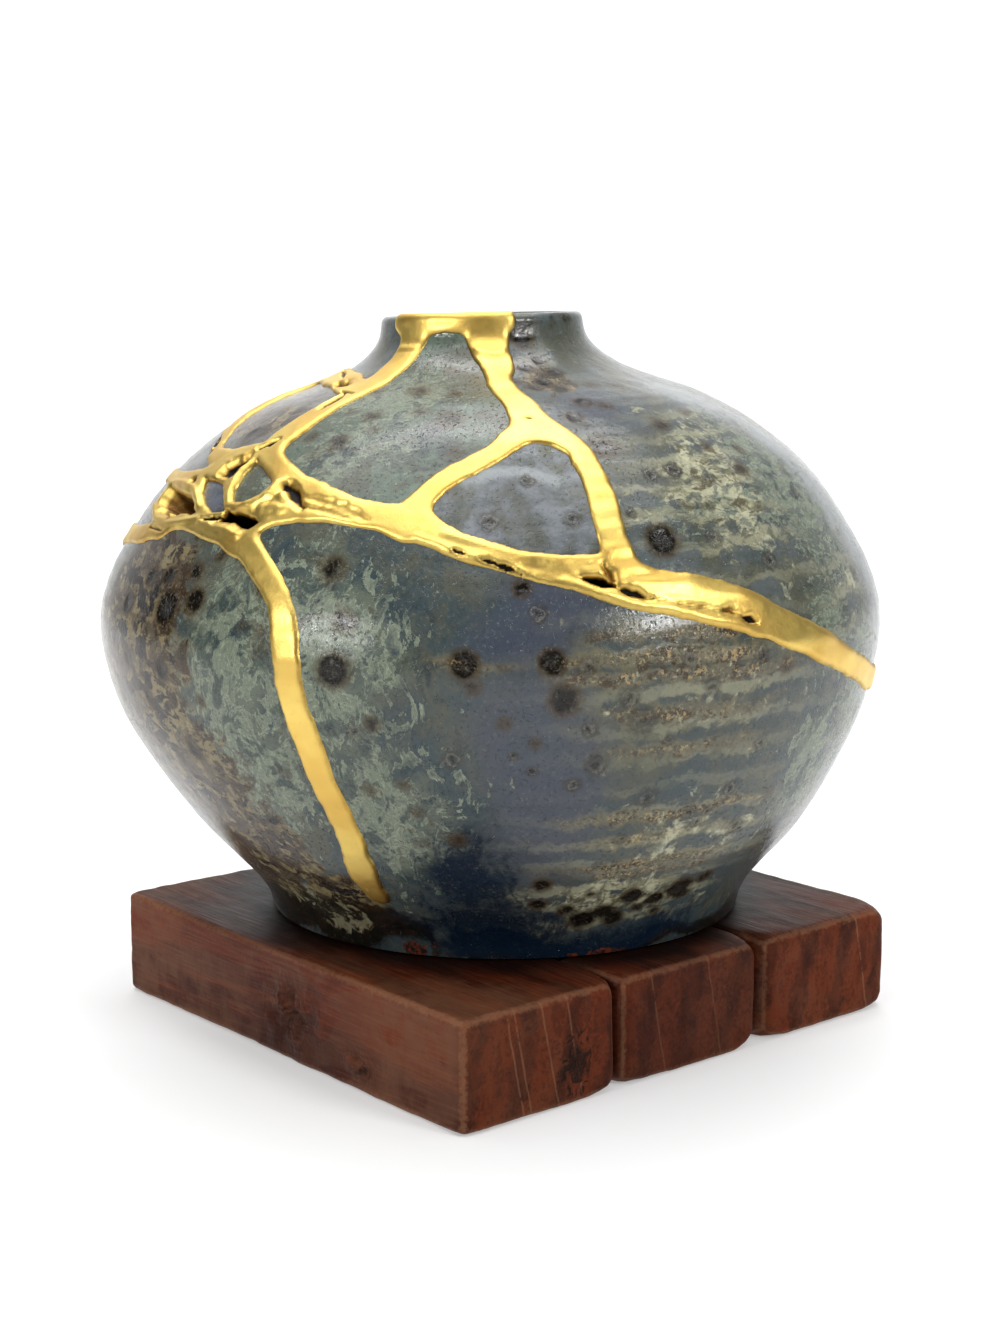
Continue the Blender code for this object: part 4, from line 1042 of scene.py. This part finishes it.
def buildGlaze(materials):
    grid = Grid(pot["columns"])
    field = grid.goldField()
    fields = grid.shardFields(field)
    for name, (_, node, slotName) in shards.items():
        turn, high, value, triangles = cutGrid(grid, fields[name])
        share = wall.shareAt(high)
        rise, height = wall.outerPoint(share)
        points = sway(rise, turn, height)
        lift = wallForm(points, turn, share)
        if name in chips:
            lift = lift - 0.15 - 0.25 * (1 - ease(value, 0.0, 1.6))
        rise, height = wall.outerPoint(share, lift)
        outer = sway(rise, turn, height)
        rise, height = wall.innerPoint(share)
        inner = sway(rise, turn, height)
        bare = sum(strength * nearness(turn, share, (degrees, at), (wide, tall))
                   for degrees, at, wide, tall, strength in glaze["bareClay"])
        marks = glazeMarks(turn, share, points)
        if name == "lowerBody":
            outer, inner, triangles, marks, bare = addBase(grid, outer, inner, triangles, marks, bare)
        everyPoint, faces, source, depth = closeSides(outer, inner, triangles, 3)
        marks = {key: values[source] for key, values in marks.items()}
        inside = depth > 0.4
        for key in glaze["areas"]:
            marks[key] = np.where(inside, marks[key] * 0.3, marks[key])
        marks["spot"] = np.where(inside, 0.0, marks["spot"])
        marks["bare"] = np.where(inside, 0.0, bare[source])
        makePiece(name, everyPoint, faces, node, materials[slotName], marks, sharpAngle=50)
    return grid


def addBase(grid, outer, inner, triangles, marks, bare):
    # the foot ring, its recess and the floor, as rings from the wall's first row to the middle
    inside = pot["footRadius"] - pot["footRing"]
    drop = -pot["restGap"]
    rings = [(pot["footRadius"] - 0.9, drop + 0.1, inside - 0.4), (pot["footRadius"] - 2.4, drop, inside - 1.2),
             (inside + 1.6, drop, inside - 3), (inside, drop + 0.4, inside * 0.86),
             (inside - 1.4, pot["footRecess"] - 0.5, inside * 0.8),
             (inside - 3, pot["footRecess"], inside * 0.72),
             (inside * 0.75, pot["footRecess"], inside * 0.6), (inside * 0.5, pot["footRecess"], inside * 0.42),
             (inside * 0.25, pot["footRecess"], inside * 0.2),
             (inside * 0.08, pot["footRecess"], inside * 0.06)]
    columns = grid.columns
    turns = -math.pi + grid.step * np.arange(columns)
    outers, inners, faces = [outer], [inner], [triangles]
    total = len(outer)
    above = np.arange(columns)
    for radius, height, innerRadius in rings:
        outers.append(sway(np.full(columns, radius), turns, np.full(columns, height)))
        inners.append(sway(np.full(columns, innerRadius), turns, np.full(columns, pot["floor"])))
        below = total + np.arange(columns)
        a, b, c, d = below, np.roll(below, -1), np.roll(above, -1), above
        faces += [np.stack([a, b, c], 1), np.stack([a, c, d], 1)]
        above, total = below, total + columns
    middle = np.zeros(1)
    outers.append(sway(middle, middle, np.full(1, pot["footRecess"])))
    inners.append(sway(middle, middle, np.full(1, pot["floor"])))
    faces.append(np.stack([np.full(columns, total), np.roll(above, -1), above], 1))
    added = total + 1 - len(outer)
    marks = {key: np.concatenate([values, np.concatenate(outers[1:]) if key == "around" else np.zeros(added)])
             for key, values in marks.items()}
    bare = np.concatenate([bare, np.ones(added)])
    return np.concatenate(outers), np.concatenate(inners), np.concatenate(faces), marks, bare


# The base of three boards
boards = {
    "width": 33.7, "pitch": 34.0, "length": 99.0, "thickness": 18.9, "x": -1.0, "y": -5.1, "spacing": 0.8,
    # node, how far the corners at the ends are rounded (left, right), and the long edges
    "pieces": [("board_left", 1.5, 3.4, 1.0), ("board_middle", 3.0, 3.8, 1.1), ("board_right", 4.2, 3.8, 1.3)],
    "red": (102, 43, 17), "dark": (44, 15, 5), "mauve": (104, 68, 48), "pale": (142, 100, 74),
    "knotAndCreviceShade": (24, 10, 5),
    # near-black: the colour of the painted shadow on the boards' tops under the pot
    "paintedShadowUnderPot": (18, 7, 4), "roughness": 0.42, "reliefHeight": 0.00020,
    "stained": [0.3, 0.8, 0.0], "ringShift": [0.0, 2.2, 3.9], "footMiddle": [2.0, -1.5],
    "sawLines": [-39.0, -37.4, -31.7, -26.3, -7.5, 6.0, 44.0],   # where pale saw marks cross the front ends
    # (place, spread, dip, roughness) of the knots and torn grain on each board
    "knots": [
        [((-27.5, -54.6, 6.5), (4.2, 6, 6.0), 0.1, 0.1), ((-51.9, -8.0, 8.6), (5, 7.5, 5.6), 0.45, 1.5),
         ((-51.9, -28, 4.2), (4, 4.4, 2.4), 0.3, 1.2)],
        [((14, 44, 9), (5, 6, 4.5), 0.1, 0.1)],
        [((50, 10, 9), (5, 7, 4.5), 0.3, 0.6)],
    ],
}


def spacedLine(half, rounding, spacing):
    edge = np.array([0, .12, .3, .5, .7, .88]) * rounding
    middle = np.linspace(-half + rounding, half - rounding, max(2, round(2 * (half - rounding) / spacing)) + 1)
    return np.concatenate([-half + edge, middle, (half - edge)[::-1]])


def boardMaterial():
    shader = Shader("stainedWood", boards, "red", IOR=1.5, Specular_IOR_Level=0.13)
    paint = shader.paint
    grainWay = shader.stretch((1.0, 0.045, 1.0))
    fibre = shader.noise(0.55, 6, 0.68, 0.0, grainWay)
    figure = shader.noise(6.0, 4, 0.55, 0.8, shader.stretch((1.0, 0.12, 1.0)))
    across, upwards = (shader.add("ShaderNodeSeparateXYZ", {}, {0: shader.where}, axis) for axis in (0, 2))
    # growth rings far wider than the board, which cross its ends as slanting bands
    ring = across * 0.95 + upwards * -0.22 + figure * 8.0 + shader.mark("ringShift")
    wave = shader.add("ShaderNodeMath", {"operation": "SINE"}, {0: ring * (2 * math.pi / 9.5)})
    late = (wave + (fibre - 0.5) * 2.4).step(-0.3, 0.9)
    stain = shader.noise(15.0, 5, 0.6)
    fuzz = shader.noise(0.8, 6, 0.72)
    smear = shader.noise(2.6, 6, 0.62, 0.5, shader.stretch((1.0, 1.0, 0.4)))
    end, wear, near, knotAndCreviceShade, stained = (shader.mark(key) for key in ("end", "wear", "near", "knotAndCreviceShade", "stain"))
    paint(late * 0.75, "dark")
    streaky = (1 - end) * (0.35 + shader.mark("top") * 0.65)
    paint(fibre.step(0.48, 0.62) * 0.6 * streaky, "dark")
    paint((1 - fibre).step(0.52, 0.64) * 0.32 * streaky, "pale")
    # broad soft flames of lighter and darker wood
    flame = shader.noise(11.0, 2, 0.5, 1.2, shader.stretch((1.0, 0.5, 1.0)))
    paint(flame.step(0.50, 0.56) * (1 - end * 0.5) * 0.35, "mauve")
    paint((1 - flame).step(0.55, 0.60) * 0.3, "dark")
    # greyer, lighter wood away from the pot: partly wood that is greyer at random, partly the far side of the
    # painted shade near the pot
    grey = (stain + (1 - near) * 0.26 - 0.24 + (smear - 0.5) * 0.4).step(0.34, 0.62)
    paint(grey * (1 - end * 0.6) * 0.6, "mauve")
    paint(end * smear.step(0.40, 0.62) * 0.3, "red")
    paint(end * (1 - smear + (fuzz - 0.5)).step(0.46, 0.66) * 0.45, "dark")
    # a few narrow pale lines left by the saw across the end grain
    slant, saw = across + upwards * 0.21 + (stain - 0.5) * 1.2, None
    for place in boards["sawLines"]:
        line = (slant - place).size()
        saw = line if saw is None else saw.smaller(line)
    paint(end * (1 - saw / 0.3).step(0.0, 0.8) * (smear + (fuzz - 0.5)).step(0.34, 0.48) * 0.42, "pale")
    paint(stained * (0.5 + (fuzz - 0.5) * 1.2), "dark")
    paint((wear + (fuzz - 0.5) * 1.8).step(0.5, 1.1) * 0.45, "pale")
    # dark knots, and painted shade in the low crevices of the torn grain
    torn = shader.noise(2.2, 3, 0.5, 1.2)
    paint((knotAndCreviceShade * 1.3 + (fuzz - 0.5) * 0.8 - (torn - 0.42).step(0.0, 0.12) * 0.55).step(0.3, 0.7) * 0.85,
          "knotAndCreviceShade")
    # painted shade: the boards are darker near the pot, under its overhanging belly
    paint((near - end * 0.4).larger(0.0) * (0.55 + (fibre - 0.5) * 0.8), "dark")
    # painted shadow: the boards' tops go almost black round the pot's foot, where the overhanging belly shades
    # them
    paint(shader.mark("paintedShadowUnderPot") * 0.92, "paintedShadowUnderPot")
    shader.feed("Base Color", shader.coat)
    shader.feed("Roughness", boards["roughness"] + (fibre - 0.5) * 0.3 + end * 0.22 + (1 - near) * 0.12)
    height = (1 - fibre) * streaky * 0.7 + fuzz * (0.35 + end * 0.9) + knotAndCreviceShade * torn * 9.0
    shader.feed("Normal", shader.bump(height, boards["reliefHeight"]))
    return shader.material


def buildBoard(index, material):
    node, cornerLeft, cornerRight, roundEdge = boards["pieces"][index]
    half = np.array([boards["width"], boards["length"], boards["thickness"]]) / 2
    centre = np.array([boards["x"] + (index - 1) * boards["pitch"], boards["y"], half[2]])
    lines = [spacedLine(h, 1.6, boards["spacing"] * (1.0 if k != 1 else 1.5)) for k, h in enumerate(half)]
    numbers, points, faces = {}, [], []

    def number(corner):
        if corner not in numbers:
            numbers[corner] = len(points)
            points.append([lines[k][corner[k]] for k in range(3)])
        return numbers[corner]

    for axis in range(3):
        u, v = (axis + 1) % 3, (axis + 2) % 3
        for side in (0, len(lines[axis]) - 1):
            for i in range(len(lines[u]) - 1):
                for j in range(len(lines[v]) - 1):
                    loop = []
                    for di, dj in ((0, 0), (1, 0), (1, 1), (0, 1)):
                        corner = [0, 0, 0]
                        corner[axis], corner[u], corner[v] = side, i + di, j + dj
                        loop.append(number(tuple(corner)))
                    faces.append(loop if side else loop[::-1])
    box = np.array(points)
    seat = box + centre
    rounding = (roundEdge * (1 + 0.25 * softNoise(seat, 9.0, 71)))[:, None] * np.array([1.0, 1.3, 1.0])
    corner = np.where(box[:, 0] < 0, cornerLeft, cornerRight) * (1 + 0.15 * softNoise(seat, 6.0, 77))
    atCorner = ease(half[1] - np.abs(box[:, 1]), 8.0, 1.0) * ease(half[0] - np.abs(box[:, 0]), 7.0, 1.0)
    rounding += (corner[:, None] * np.array([1.0, 1.0, 0.8]) - rounding) * atCorner[:, None]
    core = np.clip(box, -half + rounding, half - rounding)
    out = (box - core) / rounding
    length = np.linalg.norm(out, axis=1)[:, None]
    away = out / np.maximum(length, 1e-9)
    shaped = core + away * rounding
    wearNoise = softNoise(seat, 7.0, 72)
    dent = 0.05 * softNoise(seat, 2.2, 73) + 0.03 * softNoise(seat * np.array([1, 0.08, 1]), 0.9, 74)
    edge = ease((np.sort(half - np.abs(box), axis=1)[:, 1]), 2.4, 0.2)
    shaped = shaped + away * (dent - 0.05 - edge * 0.12 * np.maximum(wearNoise, 0))[:, None]
    knotAndCreviceShade = np.zeros(len(box))
    for place, spread, dip, rough in boards["knots"][index]:
        near = np.exp(-(((seat - np.array(place)) / np.array(spread))**2).sum(axis=1))
        shaped = shaped - away * (near * (dip + rough * softNoise(seat, 2.4, 75, 2)))[:, None]
        knotAndCreviceShade = np.maximum(knotAndCreviceShade, near * (1.0 if rough < 0.2 else 0.5))
    seat = shaped + centre
    fromFoot = np.hypot(*(seat[:, :2] - boards["footMiddle"]).T)
    # near is 1 within 44 mm of the foot's middle and falls to 0 at 66 mm: the reach of the painted shade under
    # the belly
    near = ease(fromFoot + 4 * softNoise(seat, 12.0, 76), 66, 44)
    onTop = ease(box[:, 2], half[2] - 0.9, half[2] - 0.2)
    marks = {"end": (np.abs(box[:, 1]) > half[1] - 0.6).astype(float), "wear": edge, "near": near, "knotAndCreviceShade": knotAndCreviceShade,
             "stain": np.full(len(box), boards["stained"][index]) * ease(-box[:, 1], half[1] - 4, half[1] - 1),
             "top": onTop,
             # where the painted shadow lies: on the tops, fully within 45 mm of the foot's middle, gone by 52.5
             # mm
             "paintedShadowUnderPot": onTop * ease(fromFoot + 2.2 * softNoise(seat, 9.0, 78), 52.5, 45.0),
             "ringShift": np.full(len(box), boards["ringShift"][index])}
    makePiece(("boardLeft", "boardMiddle", "boardRight")[index], seat, faces, node, material,
              marks,
              sharpAngle=40)


# Stage, lights and camera
ahead, toRight = (0.6486, 0.7612, 0.0), (0.7612, -0.6486, 0.0)   # over the floor, as the camera looks
stage = {
    "floor": (206, 206, 206), "floorPatch": [0.86, 0.86, 0.86], "glow": 0.30,
    "reach": 3.0, "curve": 0.5, "back": 1.1,   # metres: half the floor's width, its bend and where that starts
    # the room's light is dimmer low down and towards the camera's left
    "worldDark": 0.20, "world": 0.56, "leftShade": 0.2, "rightShade": 1.7,
    # each lamp's place, what it points at, its width and height in metres, and its power
    "lamps": {
        "top": ((0.0, 0.05, 1.15), (0, 0, 0.05), 1.3, 1.3, 15.2),
        "behind": ((0.25, 0.30, 1.0), (0.95, 1.1, 0.35), 0.8, 0.5, 20.0),
        "left": ((-0.735, -0.046, 0.36), (0, 0, 0.08), 0.19, 0.075, 2.5),
        "right": ((0.115, -0.683, 0.44), (0, 0, 0.08), 0.20, 0.08, 2.7),
    },
    "camera": [-0.25974, -0.30753, 0.13120], "tilt": 9.795, "turn": 40.43, "lens": 59.9,
}


def buildStage():
    profile = [(-stage["reach"], 0.0), (0.0, 0.0), (stage["back"], 0.0)]
    for k in range(1, 17):
        turn = math.pi / 2 * k / 16
        profile.append((stage["back"] + stage["curve"] * math.sin(turn), stage["curve"] * (1 - math.cos(turn))))
    profile.append((stage["back"] + stage["curve"], stage["reach"]))
    points = [tuple(Vector(ahead) * distance + Vector(toRight) * way * stage["reach"] + Vector((0, 0, height)))
              for distance, height in profile for way in (-1, 1)]
    faces = [(2 * k, 2 * k + 1, 2 * k + 3, 2 * k + 2) for k in range(len(profile) - 1)]
    mesh = bpy.data.meshes.new("sweep")
    mesh.from_pydata(points, [], faces)
    mesh.shade_smooth()
    shader = Shader("sweepPaper", stage, "floor", Roughness=0.9, Emission_Color=(1, 1, 1, 1),
                    Emission_Strength=stage["glow"])
    shader.paint(shader.noise(60.0, 2) * 0.04, stage["floorPatch"])
    shader.feed("Base Color", shader.coat)
    mesh.materials.append(shader.material)
    addObject("sweep", mesh)


def addLights():
    world = bpy.data.worlds.new("studio")
    bpy.context.scene.world = world
    room = Nodes(world, {})
    where = room.add("ShaderNodeTexCoord", output="Generated")
    height = room.add("ShaderNodeSeparateXYZ", {}, {0: where}, "Z")
    right = room.add("ShaderNodeVectorMath", {"operation": "DOT_PRODUCT"}, {0: where, 1: toRight}, "Value")
    light = height.step(-0.1, 0.75, stage["worldDark"], stage["world"]) \
        * right.step(-0.9, 0.9, stage["leftShade"], stage["rightShade"], "LINEAR")
    room.put(room.nodes["Background"].inputs["Strength"], light)
    for name, (place, target, width, height, power) in stage["lamps"].items():
        lamp = bpy.data.lights.new(name, "AREA")
        lamp.shape, lamp.size, lamp.size_y, lamp.energy = "RECTANGLE", width, height, power
        addObject(name, lamp, place, (Vector(target) - Vector(place)).to_track_quat("-Z", "Y").to_euler())


def addCamera():
    camera = bpy.data.cameras.new("camera")
    camera.lens, camera.sensor_width = stage["lens"], 36.0
    scene = bpy.context.scene
    scene.camera = addObject("camera", camera, stage["camera"],
                             (math.radians(90 - stage["tilt"]), 0, math.radians(-stage["turn"])))
    scene.view_settings.view_transform = "Standard"


addCamera()
addLights()
buildStage()
print("stage, lights and camera set")

# the base colour of each glaze, and how its lichen runs: across, across, up
runDown, runRound = (1, 1, 0.62), (0.62, 0.62, 1.25)
glazeKinds = {"bowl_glaze": (glaze["slate"], runDown), "green_glaze": ((97, 111, 98), runRound),
              "blue_glaze": ((110, 115, 121), runRound), "shoulder_glaze": ((86, 93, 94), runRound),
              "pale_glaze": ((98, 100, 100), runRound), "chip_glaze": ((86, 91, 102), runRound)}
glazeMaterials = {slotName: glazeMaterial(slotName.replace("_g", "G"), *kind)
                  for slotName, kind in glazeKinds.items()}
glazeGrid = buildGlaze(glazeMaterials)
print("glazed shards built")

buildGold(goldMaterial(), glazeGrid, glazeGrid.slivers)
print("gold built")

woodMaterial = boardMaterial()
for index in range(3):
    buildBoard(index, woodMaterial)
print("boards built")
